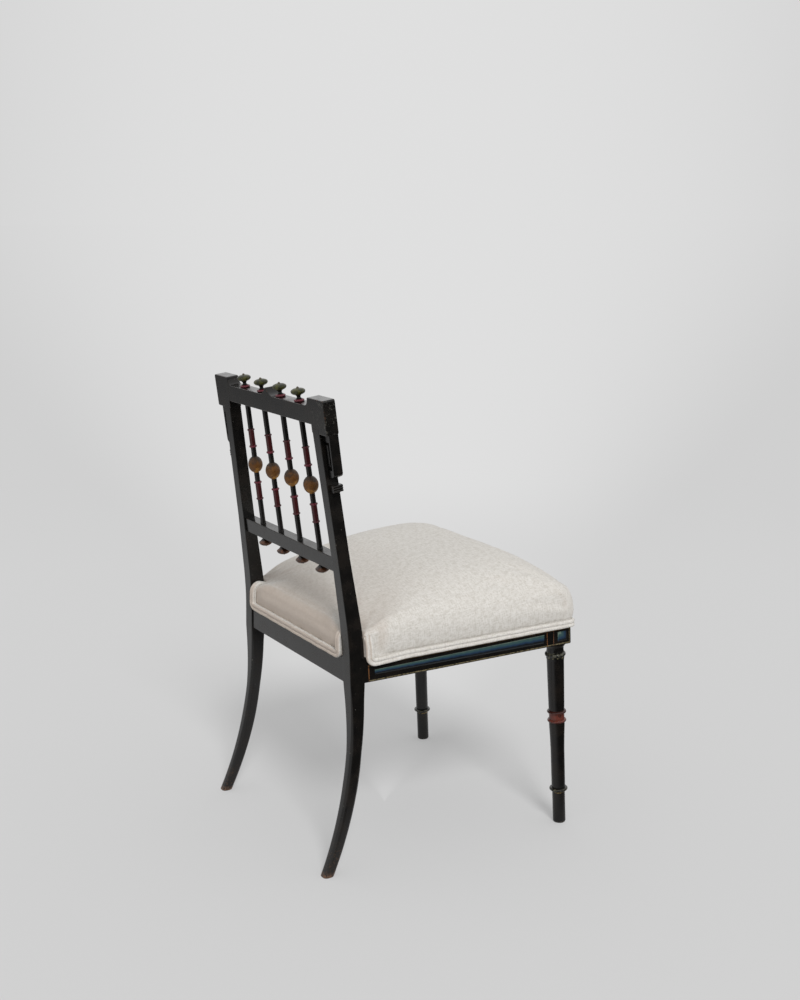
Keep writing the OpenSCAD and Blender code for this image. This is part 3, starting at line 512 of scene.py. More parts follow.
def paintedRail():
    # oil paint on the ebonised rail: thin gold and copper lines round a sunk teal and blue stripe, with painted
    # shade down to navy along its lower part and a painted pale highlight along its upper part
    made, add, where, colour, _, cloud = woodGround("paintedRail", (1, 0.06, 1))
    coords = where["Object"]
    waver, lineSoft = add("TexNoise", coords, 120, 3), rail["lineSoft"] * mm
    along, up = (wavered(add, add("SeparateXYZ", where["UV"], out=i), waver, 0.0012) for i in (0, 1))
    rubbed = add("MapRange", add("TexNoise", coords, 170, 5, 0.7), 0.38, 0.56, 0.25, 1)
    ahead = add("MapRange", along, *metres(rail["rearEnd"]), 1, 0)
    inside = stripe(add, up, *metres(rail["uprightReach"]), lineSoft)
    colour = bands(add, colour, up, add("Math", rubbed, ahead), lineSoft, rail["levelLines"])
    colour = bands(add, colour, along, add("Math", rubbed, inside), lineSoft, rail["uprightLines"])
    flute, height = (add("Attribute", out="Fac", attribute_name=n) for n in ("flute", "fluteShadeLevel"))
    height = wavered(add, height, waver, 0.5)
    # painted shade and highlight across the stripe: navy low down, then blue, teal, and a pale highlight near
    # the top
    shadedFluteTone = over(add, rail["navyShade"], rail["blue"], height, -0.55, 0.0)
    shadedFluteTone = over(add, shadedFluteTone, rail["teal"], height, -0.05, 0.4)
    shadedFluteTone = over(add, shadedFluteTone, rail["pale"], height, 0.66, 0.9)
    return varnished(made, add, add("Mix", flute, colour, shadedFluteTone), waver, cloud, flute)


def plainFinish(name, codes, scale, roughness, metallic=0.0, stretch=(1, 1, 1)):
    # a raw material with two tones that follow its grain or drawing marks
    made, add, where = newFinish(name)
    grain = add("TexNoise", add("Mapping", where["Object"], named={"Scale": stretch}), scale, 4, 0.65)
    surface = {"Base Color": over(add, *codes, grain, 0.35, 0.65),
               "Roughness": roughness, "Metallic": metallic}
    return coated(made, add, surface, grain, 0.0003, 0.4)


def wovenFinish(name, codes, pitch, band=None):
    # plain weave: two sets of threads at a pitch in mm, with fluff; a strap has a dark line near each edge
    made, add, where = newFinish(name)
    split = add("SeparateXYZ", where["UV"]).node.outputs
    threads = [add("Math", add("Math", split[i], 2 * math.pi / (pitch * mm)), operation="SINE") for i in (0, 1)]
    fluff = add("TexNoise", where["UV"], 2500, 3, 0.7)
    crossing = add("Math", add("Math", *threads), add("Math", fluff, 1.6), operation="ADD")
    colour = over(add, *codes, crossing, 0.2, 1.4)
    if band:
        edge = add("Math", split[0], operation="ABSOLUTE")
        colour = add("Mix", add("Math", stripe(add, edge, 0.014, 0.0175, 0.0005), 0.8), colour, band)
    return coated(made, add, {"Base Color": colour, "Roughness": 0.95, "IOR": 1.35}, crossing, 0.0004, 0.7)


blackWood, railWood = ebonised(), ebonised("ebonisedRail", (0.06, 1, 1))
spindlePaint, knobPaint, dropPaint = paintedTurning(), paintedKnob(), paintedDrop()
legPaint, railPaint, cloth = paintedLeg(), paintedRail(), linenCloth()
pine = plainFinish("sawnPine", ("#a9834f", "#c7a573"), 300, 0.75, stretch=(1, 1, 0.08))
jute = wovenFinish("juteHessian", ("#7d643d", "#b39a6b"), 2.4)
webbingCloth = wovenFinish("juteWebbing", ("#8a7148", "#bda677"), 1.6, "#4a2f20")
springSteel = plainFinish("drawnSteelWire", ("#77777a", "#9a9a9a"), 900, 0.38, metallic=1.0)
cambric = wovenFinish("blackCambric", ("#171615", "#2b2a28"), 1.0)
print("materials ready")


# Rear legs with their square heads

post = {
    "levels": 130, "headLip": 2, "headWide": 51.5, "headHigh": 58, "shoulder": 5, "headEdge": 1.2,
    "cornerRound": 3.4, "cornerSteps": 5, "footEdge": 1.2, "bareFoot": 9, "wornFoot": 70,
    "rounding": ((0, 210, 300, 330), (7, 7, 3.5, 1.5)),  # heights, and the radius of the edges there
}
headZ = chair["postRun"] - post["headHigh"]
headIn = innerX(level(headZ)) - post["headLip"]
headOut = headIn + post["headWide"]
crestEnd = headIn - post["shoulder"]
backFront = -chair["postTopDepth"] / 2
backRear = -backFront - 0.4  # heads and crest stand a little in from the posts' rear faces


def postRings():
    # rounded rectangles carried up the post's curved line; each corner is an arc of the given radius
    z = np.concatenate([[0, 0.35, 1.0, 2.0], np.linspace(4, level(headZ + 6), post["levels"])])
    edge = post["footEdge"] * (1 - np.clip(z, 0, 1)) ** 2
    w, d = postWidth(z) / 2 - edge, postDepth(z) / 2 - edge
    r = np.interp(z, *post["rounding"])
    a = np.radians(np.linspace(0, 90, post["cornerSteps"] + 1))[None] + np.radians(np.arange(4) * 90)[:, None]
    x, y, z3, r3, w3, d3 = (v[:, None, None] for v in (postX(z), postY(z), z, r, w - r, d - r))
    cornerX, cornerY = (np.array(v)[:, None] for v in ((1, -1, -1, 1), (1, 1, -1, -1)))
    x, y = x + cornerX * w3 + r3 * np.cos(a), y + cornerY * d3 + r3 * np.sin(a)
    grid = np.stack(np.broadcast_arrays(x, y, z3), -1).reshape(len(z), -1, 3)
    low = smooth((post["wornFoot"] - z) / 60)[:, None] * 0.9
    return grid, low, smooth((post["bareFoot"] - z) / 5)[:, None]


def headOutline():
    # a square head over the post, wider beside the crest rail; its outer corners are softened
    corners = np.array([[headIn, headZ], [headOut, headZ], [headOut, chair["postRun"]],
                        [crestEnd, chair["postRun"]], [crestEnd, chair["crestZ"]], [headIn, chair["crestZ"]]])
    r = post["cornerRound"]
    return softCorners(corners, [0, r, r, r, 0, 0])


for side, word in ((1, "left"), (-1, "right")):
    grid, worn, foot = postRings()
    stile = addSurface("stile", grid, inRoom, [blackWood], marks={"worn": worn, "foot": foot}, side=side)
    outline = mirroredOutline(headOutline(), side)
    grid, worn = plate(outline, backFront, backRear, post["headEdge"])
    # the outer face of the right head carries pale grey blotches
    outer = (outline[:, 0] * side > headOut - 1)[None] * (side < 0)
    head = addSurface("head", grid, inBack, [blackWood], marks={"worn": worn, "paleMarked": outer * 1.0})
    standsFor(joined("rearPost" + word.capitalize(), [stile, head]), "post_" + word)
print("posts ready")


# Brackets and reeded blocks beside the posts

bracket = {"bevel": 0.5, "bevelSteps": 2, "bevelFrom": 40}


def cadCopy(name, node, material):
    # a copy of a node with its triangles merged into flat faces and its edges broken
    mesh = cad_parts[node].data.copy()
    mesh.name = name
    mesh.materials.clear()
    mesh.materials.append(material)
    piece = cleaned(name, mesh, 30, 1e-6, flatten=True)
    mesh.polygons.foreach_set("material_index", np.zeros(len(mesh.polygons), np.int32))
    broken = piece.modifiers.new("brokenEdges", "BEVEL")
    broken.width, broken.segments, broken.limit_method = bracket["bevel"] * mm, bracket["bevelSteps"], "ANGLE"
    broken.angle_limit, broken.harden_normals = math.radians(bracket["bevelFrom"]), True
    return piece


reed = {"height": 12, "below": 97, "reach": 13, "long": 18, "edge": 0.5}
reedZ = headZ - reed["below"]


def reedOutline():
    # three half rounds side by side on a small block, with its lower corner cut back
    r = reed["height"] / 6
    out, lower, top = outerX(level(reedZ)), outerX(level(reedZ - 4)), reedZ + reed["height"]
    tip = out + reed["reach"] - r
    rounds = [arc((tip, reedZ + r * (2 * i + 1)), r, -88, 88, 8) for i in range(3)]
    return np.concatenate([
        [[outerX(level(top)), top], [lower, reedZ - 4], [lower + 3, reedZ - 2.5], [out + 8, reedZ],
         [tip - 1, reedZ]], *rounds, [[tip - 1, top]]])


for side, word in ((1, "left"), (-1, "right")):
    ear = cadCopy("ear" + word.capitalize(), "ear_" + word, blackWood)
    standsFor(ear, "ear_" + word)
    grid, worn = plate(mirroredOutline(reedOutline(), side), backFront, backFront + reed["long"], reed["edge"])
    piece = addSurface("reeding" + word.capitalize(), grid, inBack, [blackWood], marks={"worn": worn * 0.5})
    standsFor(piece, "reed_" + word)
print("brackets ready")


# Rails of the back and of the seat

crest = {"cove": 12, "letIn": 5, "shy": 0.15, "cusp": 30, "cuspHalf": 26.5, "cuspTip": 2, "edge": 1.0}
board = {"letIn": 1, "lowerThin": 3.2, "edge": 0.9}


def crestOutline():
    # let into the heads at both ends: coves rise to the heads, and two arcs meet in a small cusp
    swing = math.degrees(math.asin((crest["cuspHalf"] - crest["cuspTip"]) / crest["cusp"]))
    end, rise = crestEnd + crest["letIn"], crestTop + crest["cove"]
    return mirrored(np.concatenate([
        [[end, chair["crestZ"]], [end, rise]], arc((crestEnd - crest["cove"], rise), crest["cove"], 0, -90, 12),
        arc((crest["cuspHalf"], crestTop + crest["cusp"]), crest["cusp"], -90, -90 - swing, 14)]))


def boardOutline(low, top, half):
    # a straight board between two heights; half its length is a function of the height
    return np.array([[-half(low), low], [half(low), low], [half(top), top], [-half(top), top]])


rearTop = chair["rearRailZ"] + chair["railHeight"]
for name, node, place, outline, front, rear, edge, wear in (
        ("crestRail", "crest_rail", inBack, crestOutline(), backFront + crest["shy"], backRear - crest["shy"],
         crest["edge"], 0.7),
        ("lowerRail", "lower_rail", inBack,
         boardOutline(chair["lowZ"], lowTop, lambda v: innerX(level(v)) + board["letIn"]),
         backFront, -backFront - board["lowerThin"], board["edge"], 0.6),
        ("rearRail", "rear_rail", inRoom,
         boardOutline(chair["rearRailZ"], rearTop, lambda z: innerX(z) + board["letIn"]),
         chair["rearFace"] - chair["railThick"], chair["rearFace"], board["edge"], 0.6),
        ("frontRail", "front_rail", inSeat, boardOutline(0, chair["railHeight"], lambda z: blockIn),
         frontY, frontY + chair["railThick"], board["edge"], 0.6)):
    grid, worn = plate(outline, front, rear, edge)
    standsFor(addSurface(name, grid, place, [railWood], marks={"worn": worn * wear}), node)
print("rails ready")


# Spindles, knobs and drops

spindle = {
    "shaft": 9.4, "flare": 1.4, "flareLong": 6, "band": 10.4, "ball": (26, 31),
    "rings": ((34, 14.0, 4.0), (65, 13.4, 3.0)), "sides": 40,
}
spindleLong = chair["crestZ"] - lowTop


def bead(h, place, diameter, thick):
    # a half-round ring on a turning
    off = np.clip((thick / 2) ** 2 - (h - place) ** 2, 0, None)
    return np.where(off > 0, diameter / 2 - thick / 2 + np.sqrt(off), 0)


def heights(spans, rings, steps, digits):
    # heights along a turning: even spans, and closer ones where a ring swells
    swing = np.sin(np.linspace(-math.pi / 2, math.pi / 2, steps))
    return np.unique(np.round(np.concatenate([*spans, *(p + t / 2 * swing for p, t in rings)]), digits))


def spindleProfile():
    # the largest of the shaft, its flared ends, the bands, the rings and the ball at each height
    middle, (wide, tall) = spindleLong / 2, spindle["ball"]
    ball = tall / 2 * np.sin(np.linspace(-1.57, 1.57, 41))
    h = heights([np.linspace(-middle, middle, 170), ball],
                [(s * p, t) for p, _, t in spindle["rings"] for s in (-1, 1)], 19, 4)
    away = np.abs(h)
    r = np.full(h.shape, spindle["shaft"] / 2)
    r = r + spindle["flare"] / 2 * np.clip(1 - (middle - away) / spindle["flareLong"], 0, 1) ** 1.5
    near, far = (ring[0] for ring in spindle["rings"])
    r = np.maximum(r, np.where((away > near) & (away < far), spindle["band"] / 2, 0))
    for ring in spindle["rings"]:
        r = np.maximum(r, bead(away, *ring))
    return np.maximum(r, wide / 2 * np.sqrt(np.clip(1 - (h / (tall / 2)) ** 2, 0, None))), h


knob = {"wide": 24.8, "high": 25, "disc": 18, "neck": 3.4, "widest": 0.68, "tip": 1.6, "sides": 40}
drop = {"wide": 25, "high": 18, "neck": 9, "widest": 0.52, "tip": 1.6, "sides": 36}


def knobProfile():
    # a disc, a waisted neck, a flat mushroom and a small tip
    k, neck, high, tip = knob["wide"] / 2, knob["neck"], knob["high"], knob["tip"]
    wideZ = high * knob["widest"]
    waist = [[neck + out, high * up]
             for out, up in ((3.4, 0.165), (1.8, 0.2), (0.6, 0.23), (0, 0.26), (0, 0.35))]
    return np.concatenate([
        [[0, 0]], arc((knob["disc"] / 2 - 2, 2), 2, -90, 40, 8), waist,
        arc((neck + 1, wideZ), (k - neck - 1, high * 0.22), -80, 0, 12),
        arc((2, wideZ), (k - 2, high * 0.21), 6, 84, 14), arc((0, high - tip), (1.9, tip), 10, 90, 5)]).T


def dropProfile():
    # a spreading cone that ends in a rounded underside with a small tip
    k, high, neck, tip = drop["wide"] / 2, drop["high"], drop["neck"] / 2, drop["tip"]
    wideZ = high * drop["widest"]
    return np.concatenate([
        [[0, 0], [neck, 0], [neck + 0.4, 2]], arc((0, wideZ), (k, high * 0.18), -35, 0, 6),
        arc((0, wideZ), (k, high * 0.4), 8, 80, 14), arc((0, high - tip), (2, tip), 10, 90, 5)]).T


def spindleX(i, places):
    # two turnings stand on either side of the middle, at an inner and an outer place
    return (-1 if i < 2 else 1) * places[1 - i if i < 2 else i - 2]


def leaning(fan, x, z, lift=0):
    # a turning's own frame: it leans sideways by an angle about its foot on a rail
    def place(p):
        c, s, up = math.cos(fan), math.sin(fan), p[..., 2] + lift
        return inBack(np.stack([p[..., 0] * c + up * s + x, p[..., 1], up * c - p[..., 0] * s + z], -1))
    return place


for i in range(4):
    foot, head = spindleX(i, chair["spindleFoot"]), spindleX(i, chair["spindleHead"])
    fan = math.atan2(head - foot, spindleLong)
    for kind, profile, size, place, paint, slot, way, sharp in (
            ("spindle", spindleProfile(), spindle, leaning(fan, foot, lowTop, spindleLong / 2), spindlePaint,
             "painted_turning", 1, 35),
            ("knob", knobProfile(), knob, leaning(0, head, crestTop), knobPaint, "olive_gold", 1, 50),
            ("drop", dropProfile(), drop, leaning(0, foot, chair["lowZ"]), dropPaint, "copper_brown", -1, 50)):
        grid, uv = lathe(*profile, size["sides"])
        grid[..., 2] *= way  # a drop hangs down, so its rows turn round with it
        piece = addSurface(f"{kind}{i + 1}", grid[::way], place, [paint], uv=uv[::way], sharp=sharp)
        standsFor(piece, f"{kind}_{i + 1}")
print("turnings ready")


# Side rails and front legs

flute = {
    "deep": 0.8, "rear": -19, "front": -343, "rearHigh": 8.5, "frontHigh": 16, "middle": 16.5,
    "railEdge": 1.0, "railRear": 3,
}


def roundedHeights(edge, steps, spans):
    # heights up a rail whose upper and lower edges are rounded, and how far each lies in from the face
    turn = np.linspace(0, math.pi / 2, steps)
    rise, inset = edge * (1 - np.cos(turn)), edge * (1 - np.sin(turn))
    z = np.concatenate([rise, *spans, chair["railHeight"] - rise[::-1]])
    return z, np.concatenate([inset, np.zeros(len(z) - 2 * steps), inset[::-1]])


def railSurface():
    # the rail's section, carried along it: a scoop is taken out of the outer face
    y = np.unique(np.concatenate([np.linspace(blockY, flute["railRear"], 150),
                                  np.linspace(flute["front"] - 1, flute["front"] + 5, 13),
                                  np.linspace(flute["rear"] - 6, flute["rear"] + 1, 13)]))
    z, inset = roundedHeights(flute["railEdge"], 5, (
        np.linspace(2, 6, 5), np.linspace(6.5, 27, 54), np.linspace(28, 44, 7)))
    high = np.interp(y, (flute["front"], flute["rear"]), (flute["frontHigh"], flute["rearHigh"]))[:, None]
    reach = (z[None] - flute["middle"]) / (high / 2)
    end = np.minimum(y - flute["front"], flute["rear"] - y)[:, None]
    inside = smooth((1 - np.abs(reach)) / 0.35) * smooth(end / 2.5)
    outer = np.stack(np.broadcast_arrays(railX(y)[:, None] - inset - flute["deep"] * inside, y[:, None], z), -1)
    inner = (railX(y) - chair["railThick"] / math.cos(splay))[:, None]
    back = np.stack(np.broadcast_arrays(inner, y[:, None], (chair["railHeight"] - 0.5, 0.5)), -1)
    plain = np.zeros((len(y), 2))  # the inner face carries no paint
    mask = np.concatenate([smooth((1.02 - np.abs(reach)) / 0.06) * smooth((end + 0.5) / 1.0), plain], 1)
    # the height across the flute, which sets its painted shade and highlight
    tall = np.concatenate([np.clip(reach, -1.2, 1.2), plain], 1)
    grid = np.concatenate([outer, back], 1)[::-1]
    return grid, mask[::-1], tall[::-1], grid[..., 1:] * mm


leg = {
    "splay": 0.57, "inset": 19.5, "foot": 23.4, "low": 25, "top": 31.6, "ring": 34.6, "collar": 38,
    "footRing": 66, "band": 209, "bandHigh": 17, "collarDrop": 22.5, "sides": 56,
}
legX, legY = railX(frontY) - chair["blockWidth"] / 2 - 1, frontY + leg["inset"]
legLong = (chair["seatZ"] - legY * math.sin(slope)) / math.cos(slope)


def legProfile():
    # the taper with its swellings as a smooth line, and the largest of it and the rings
    low, top, band, half = leg["low"] / 2, leg["top"] / 2, leg["band"], leg["bandHigh"] / 2
    collar = legLong - leg["collarDrop"]
    foot, ring = leg["foot"] / 2, leg["footRing"]
    line = np.array([
        [-3, foot], [ring - 6, foot], [ring + 8, low], [ring + 78, low + 0.2], [band - 36, low + 1],
        [band - half - 8, low + 1.9], [band - half, low + 1.5], [band + half, low + 1.5],
        [band + half + 10, low + 2], [collar - 10, top], [collar - 7, top + 0.8], [collar, top + 0.8],
        [collar + 9, top - 0.4], [collar + 14, top], [legLong - 3, top + 3.5], [legLong + 0.5, top + 4]])
    rings = ((ring, leg["ring"] - 1, 5.5), (band - half, leg["ring"], 5),
             (band + half, leg["ring"] + 0.4, 5), (collar, leg["collar"], 8))
    h = heights([np.linspace(-2.5, legLong + 0.5, 230)], [(p, t) for p, _, t in rings], 17, 3)
    r = np.interp(h, *line.T) - 1.4 * np.clip(1 - h / 2.2, 0, 1) ** 2  # the foot's edge is rounded
    for swelling in rings:
        r = np.maximum(r, bead(h, *swelling))
    return r, h


def legPlace(p):
    # the leg's axis leans out a little, and its foot is cut flat by the floor
    c, s = math.cos(math.radians(leg["splay"])), math.sin(math.radians(leg["splay"]))
    z = p[..., 2] - legLong
    placed = inSeat(np.stack([p[..., 0] * c - z * s + legX, p[..., 1] + legY, p[..., 0] * s + z * c], -1))
    placed[..., 2] = np.maximum(placed[..., 2], 0)
    return placed


block = {"corner": 3, "panel": 17, "panelAt": 0.42, "deep": 1.2, "edge": 0.9, "faceSteps": 90}
blockTurn = (railX(frontY + block["corner"]) - block["corner"] / math.cos(splay), frontY + block["corner"])


def blockSurface():
    # the block's plan, carried up: a square is sunk in its outer face
    y = np.linspace(blockTurn[1] + 0.7, blockY, block["faceSteps"])
    outline = np.concatenate([
        [[blockIn, blockY], [blockIn, (blockY + frontY) / 2], [blockIn, frontY],
         [(blockIn + blockTurn[0]) / 2, frontY]],
        arc(blockTurn, block["corner"], -90, chair["splay"] - 6, 10), np.stack([railX(y), y], -1)])
    z, inset = roundedHeights(block["edge"], 4, (
        np.linspace(2, 7, 4), np.linspace(7.5, 26, 60), np.linspace(27, 44, 6)))
    toward = outline.mean(0) - outline
    toward /= np.linalg.norm(toward, axis=1)[:, None]
    flat = outline[None] + toward[None] * inset[:, None, None] * 1.2
    half = block["panel"] / 2
    back = ((outline[:, 1] - frontY - block["panelAt"] * chair["blockWidth"]) / half)[None]
    up = ((z - flute["middle"]) / half)[:, None]
    onFace = (np.arange(len(outline)) >= len(outline) - block["faceSteps"])
    acrossZ, acrossY = (smooth(half * (1 - np.abs(v)) / 0.9 + 0.5) for v in (up, back))
    sunk = acrossZ * acrossY * onFace
    flat[..., 0] -= block["deep"] * sunk
    grid = np.concatenate([flat, np.broadcast_to(z[:, None, None], (*flat.shape[:2], 1))], -1)
    # painted shade and highlight: the square is painted darker downward and towards the front, with a pale
    # painted highlight on its rear edge
    across = np.minimum(0.9 * back + 0.6, 0.9 * up + 0.35) + 0.5 * smooth((back - 0.7) / 0.15)
    return grid, sunk, across, onFace, grid[..., 1:] * mm


for side, word in ((1, "left"), (-1, "right")):
    grid, mask, tall, uv = railSurface()
    plain = np.arange(grid.shape[1]) >= grid.shape[1] - 3
    sideRail = addSurface("sideRail" + word.capitalize(), grid, inSeat, [railPaint, railWood], uv=uv, side=side,
                          marks={"flute": mask, "fluteShadeLevel": tall}, pick=plain)
    rings, uv = lathe(*legProfile(), leg["sides"])
    shaft = addSurface("legShaft", rings, legPlace, [legPaint], uv=uv, side=side)
    grid, sunk, across, onFace, uv = blockSurface()
    top = addSurface("legBlock", grid, inSeat, [blackWood, railPaint], uv=uv, side=side,
                     marks={"flute": sunk, "fluteShadeLevel": across}, pick=onFace)
    standsFor(sideRail, "side_rail_" + word)
    standsFor(joined("frontLeg" + word.capitalize(), [shaft, top]), "front_leg_" + word)
print("legs and side rails ready")


# Seat cushion

seat = {
    "edge": 109, "crown": 50, "crownPower": 3.6, "rearDrop": 15, "cornerDrop": 13, "cornerRun": 48,
    "sideBulge": 8, "frontBulge": 11, "rearBulge": 3, "gap": 0.3, "wellShare": 0.82, "fill": 0.75,
    "flap": 9, "flapThick": 0.9, "pucker": 0.35, "frontSteps": 48, "sideSteps": 96, "rearSteps": 48,
    "corner": 28, "besidePost": 0.25, "wellTop": 93.7, "voxel": 6, "pressure": 4, "cap": 5, "frames": 20,
    # height over the rail, or under the edge where it is negative; corner radius; shares of the bulge at
    # the side and at the rear, and of the pulls
    "wall": ((0, 3, 0.1, 0, 1), (4, 6, 0.35, 0, 1), (16, 12, 0.75, 0.4, 0.5), (32, 18, 1, 1, 0),
             (-18, 23, 0.98, 0.95, 0), (-7, 27, 0.7, 0.6, 0)),
    "crownRings": (0.975, 0.94, 0.89, 0.82, 0.72, 0.58, 0.4, 0.2, 0.02),
}
welt = {
    "cord": 3.5, "out": 4.9, "end": 84, "dip": 3, "bend": 10, "gap": 0.3, "rearEnd": 73, "over": 11, "sink": 6,
    "step": 2.0, "backing": 1.7, "unseen": 1.5,
}
weltWide = 4 * welt["cord"]
seatRear = (chair["rearFace"] - chair["seatY"]) / math.cos(slope)
seatMid, seatHalf = (frontY + seatRear) / 2, (seatRear - frontY) / 2


def sideOf(y, g):
    # the side rail's outer face, let out square to it
    return railX(y) + g / math.cos(splay)


def notchY(z):
    # the post's front face, as seen from the tipped seat, less a gap
    return bend(chair["seatZ"] + z) - z * math.tan(slope) - seat["gap"]


def notchX(z):
    # the post's inner face less a gap
    return innerX(chair["seatZ"] + z) - seat["gap"]


def rearY(z):
    # the rear rail's upright face, as seen from the tipped seat
    return seatRear - z * math.tan(slope)


def offWelt(d):
    # 0 beside a post's welt, rising to 1 beyond it
    return smooth((d - weltWide - 1) / 30)


def puckers(run):
    # small pulls between tacks: three waves of unlike lengths
    return seat["pucker"] * (np.sin(run / 3.9) + np.sin(run / 6.1 + 1) + np.sin(run / 10.3 + 2))


def seatPlan(g, front, rear, radius, z, pull=0.0):
    # half outline of the cushion at a height: front, corner, side, notch at the post, rear; then its mirror
    yf = frontY - front
    corner = (sideOf(yf + radius, g) - radius / math.cos(splay), yf + radius)
    held = 1 if z < chair["railHeight"] + 1 else seat["besidePost"] * smooth((z - 68) / 20)
    t = np.linspace(0, 1, seat["frontSteps"])[:-1]
    frontLine = np.stack([corner[0] * t, yf - pull * puckers(corner[0] * t)], -1)
    y = corner[1] + (notchY(z) - corner[1]) * np.linspace(0, 1, seat["sideSteps"])[1:]
    bulge = (g + pull * puckers(y)) * np.maximum(offWelt(notchY(z) - y), held)
    sideLine = np.stack([sideOf(y, bulge), y], -1)
    t = np.linspace(0, 1, 5)[:, None]
    notch = np.array([notchX(z), notchY(z)]) * (1 - t) + np.array([notchX(z), rearY(z)]) * t
    x = notchX(z) * np.linspace(1, 0, seat["rearSteps"])[1:]
    rearLine = np.stack([x, rearY(z) + (rear + pull * puckers(x)) * offWelt(notchX(z) - x)], -1)
    turn = arc(corner, radius, -90, chair["splay"], 12)
    return mirrored(np.concatenate([frontLine, turn, sideLine, notch, rearLine]), 1)


def seatFacing():
    # for each point of the outline, the way its wall faces
    straight = (0, -1), (math.cos(splay), math.sin(splay)), (1, 0), (0, 1)
    counts = seat["frontSteps"] - 1, seat["sideSteps"] - 1, 5, seat["rearSteps"] - 1
    front, *others = (np.tile(np.array(way, float), (n, 1)) for way, n in zip(straight, counts))
    return mirrored(np.concatenate([front, arc((0, 0), 1, -90, chair["splay"], 12), *others]), 1)


def rollAt(x, y):
    # the border drops towards the rear, and a little more beside each post
    back = (y - seatMid) / seatHalf
    beside = smooth(1 - (notchX(seat["edge"]) - np.abs(x)) / seat["cornerRun"])
    atRear, atPost = smooth((back - 0.62) / 0.38), beside * smooth((back - 0.4) / 0.52)
    return seat["rearDrop"] * atRear + seat["cornerDrop"] * atPost


def crownAt(x, y):
    # height of the crown over the rolled edge: it falls off steeply near the borders
    u = np.minimum(np.abs(x) / sideOf(y, seat["sideBulge"]), 1)
    v = (y - seatMid) / seatHalf
    v = np.minimum(np.abs(v + 0.45 * (1 - v * v)), 1)
    p = seat["crownPower"]
    return seat["edge"] - rollAt(x, y) + seat["crown"] * (1 - u ** p) * (1 - v ** p)


def drawnIn(plan, share):
    # an outline shrunk towards the middle of the seat
    return np.column_stack([plan[:, 0] * share, seatMid + (plan[:, 1] - seatMid) * share])


def atHeight(plan, z):
    # a flat outline set at one height
    return np.column_stack([plan, np.full(len(plan), z)])


def throughRings(rings):
    # a smooth curve through the rings: each stretch bends as its neighbours do
    padded = np.concatenate([2 * rings[:1] - rings[1:2], rings, 2 * rings[-1:] - rings[-2:-1]])
    t = np.linspace(0, 1, 5)[:-1, None, None]
    fine = [b + 0.5 * t * (c - a + t * (2 * a - 5 * b + 4 * c - d + t * (3 * b - a - 3 * c + d)))
            for a, b, c, d in zip(padded, padded[1:], padded[2:], padded[3:])]
    return np.concatenate([*fine, rings[-1:]])


def flapRings(high):
    # a flap over the rails; it stops short of the posts, where its depth and thickness come to nothing
    half = np.concatenate([np.ones(seat["frontSteps"] + 12),
                           smooth((np.arange(seat["sideSteps"] - 1)[::-1] - 1) / 4),
                           np.zeros(4 + seat["rearSteps"])])
    hangs = np.concatenate([half, half[1:-1][::-1]])[:, None]
    bottom, inner, outer = (atHeight(seatPlan(g, g, 0, 3, high), high)
                            for g in (0, seat["gap"], seat["gap"] + seat["flapThick"]))
    top, outside = (bottom * (1 - hangs) + side * hangs for side in (inner, outer))
    drop = np.array([0, 0, 1]) * (seat["flap"] * hangs)
    return [top, top - drop, outside - drop]


def seatRings():
    # a well for the springs, the flap, then control rings of the wall and the crown joined smoothly
    high, edge = chair["railHeight"], seat["edge"]
    rings = []
    for rise, radius, share, rear, pull in seat["wall"]:
        z = (edge if rise < 0 else high) + rise
        plan = seatPlan(seat["sideBulge"] * share, seat["frontBulge"] * share, seat["rearBulge"] * rear,
                        radius, z, pull)
        lift = rollAt(plan[:, 0], plan[:, 1]) * (z - high) / (edge - high)
        rings.append(np.column_stack([plan, z - lift]))
    for share in seat["crownRings"]:
        plan = drawnIn(seatPlan(0, 0, 0, seat["corner"], edge), share)
        rings.append(np.column_stack([plan, crownAt(plan[:, 0], plan[:, 1])]))
    well = drawnIn(seatPlan(0, 0, 0, seat["corner"], high), seat["wellShare"])
    hollow = [atHeight(well, z) for z in (seat["wellTop"], high)]
    return np.concatenate([np.array(hollow + flapRings(high)), throughRings(np.array(rings))])


def seatUv(grid):
    # the weave lies flat on the crown and folds down over each wall
    down = (grid[..., 2].max() - grid[..., 2])[..., None]
    return (grid[..., :2] + seatFacing()[None] * down) * mm


def freeShare(points, normals):
    # 0 where the cover is tacked, lies on something or meets a post, 1 on the open crown and walls
    back, up = points[:, 1] / mm - chair["seatY"], points[:, 2] / mm - chair["seatZ"]
    y = back * math.cos(slope) - up * math.sin(slope)
    z = up * math.cos(slope) + back * math.sin(slope)
    post = np.maximum(notchY(z) - y, notchX(z) - np.abs(points[:, 0]) / mm)
    return smooth((z - 52) / 16) * (normals[:, 2] > -0.35) * smooth(post / 14)


def vertexArrays(mesh):
    # the mesh's points and their normals, one row each
    read = []
    for layer in ("vertices", "vertex_normals"):
        values = np.zeros(len(mesh.vertices) * 3, np.float32)
        getattr(mesh, layer).foreach_get("co" if layer == "vertices" else "vector", values)
        read.append(values.reshape(-1, 3).astype(float))
    return read


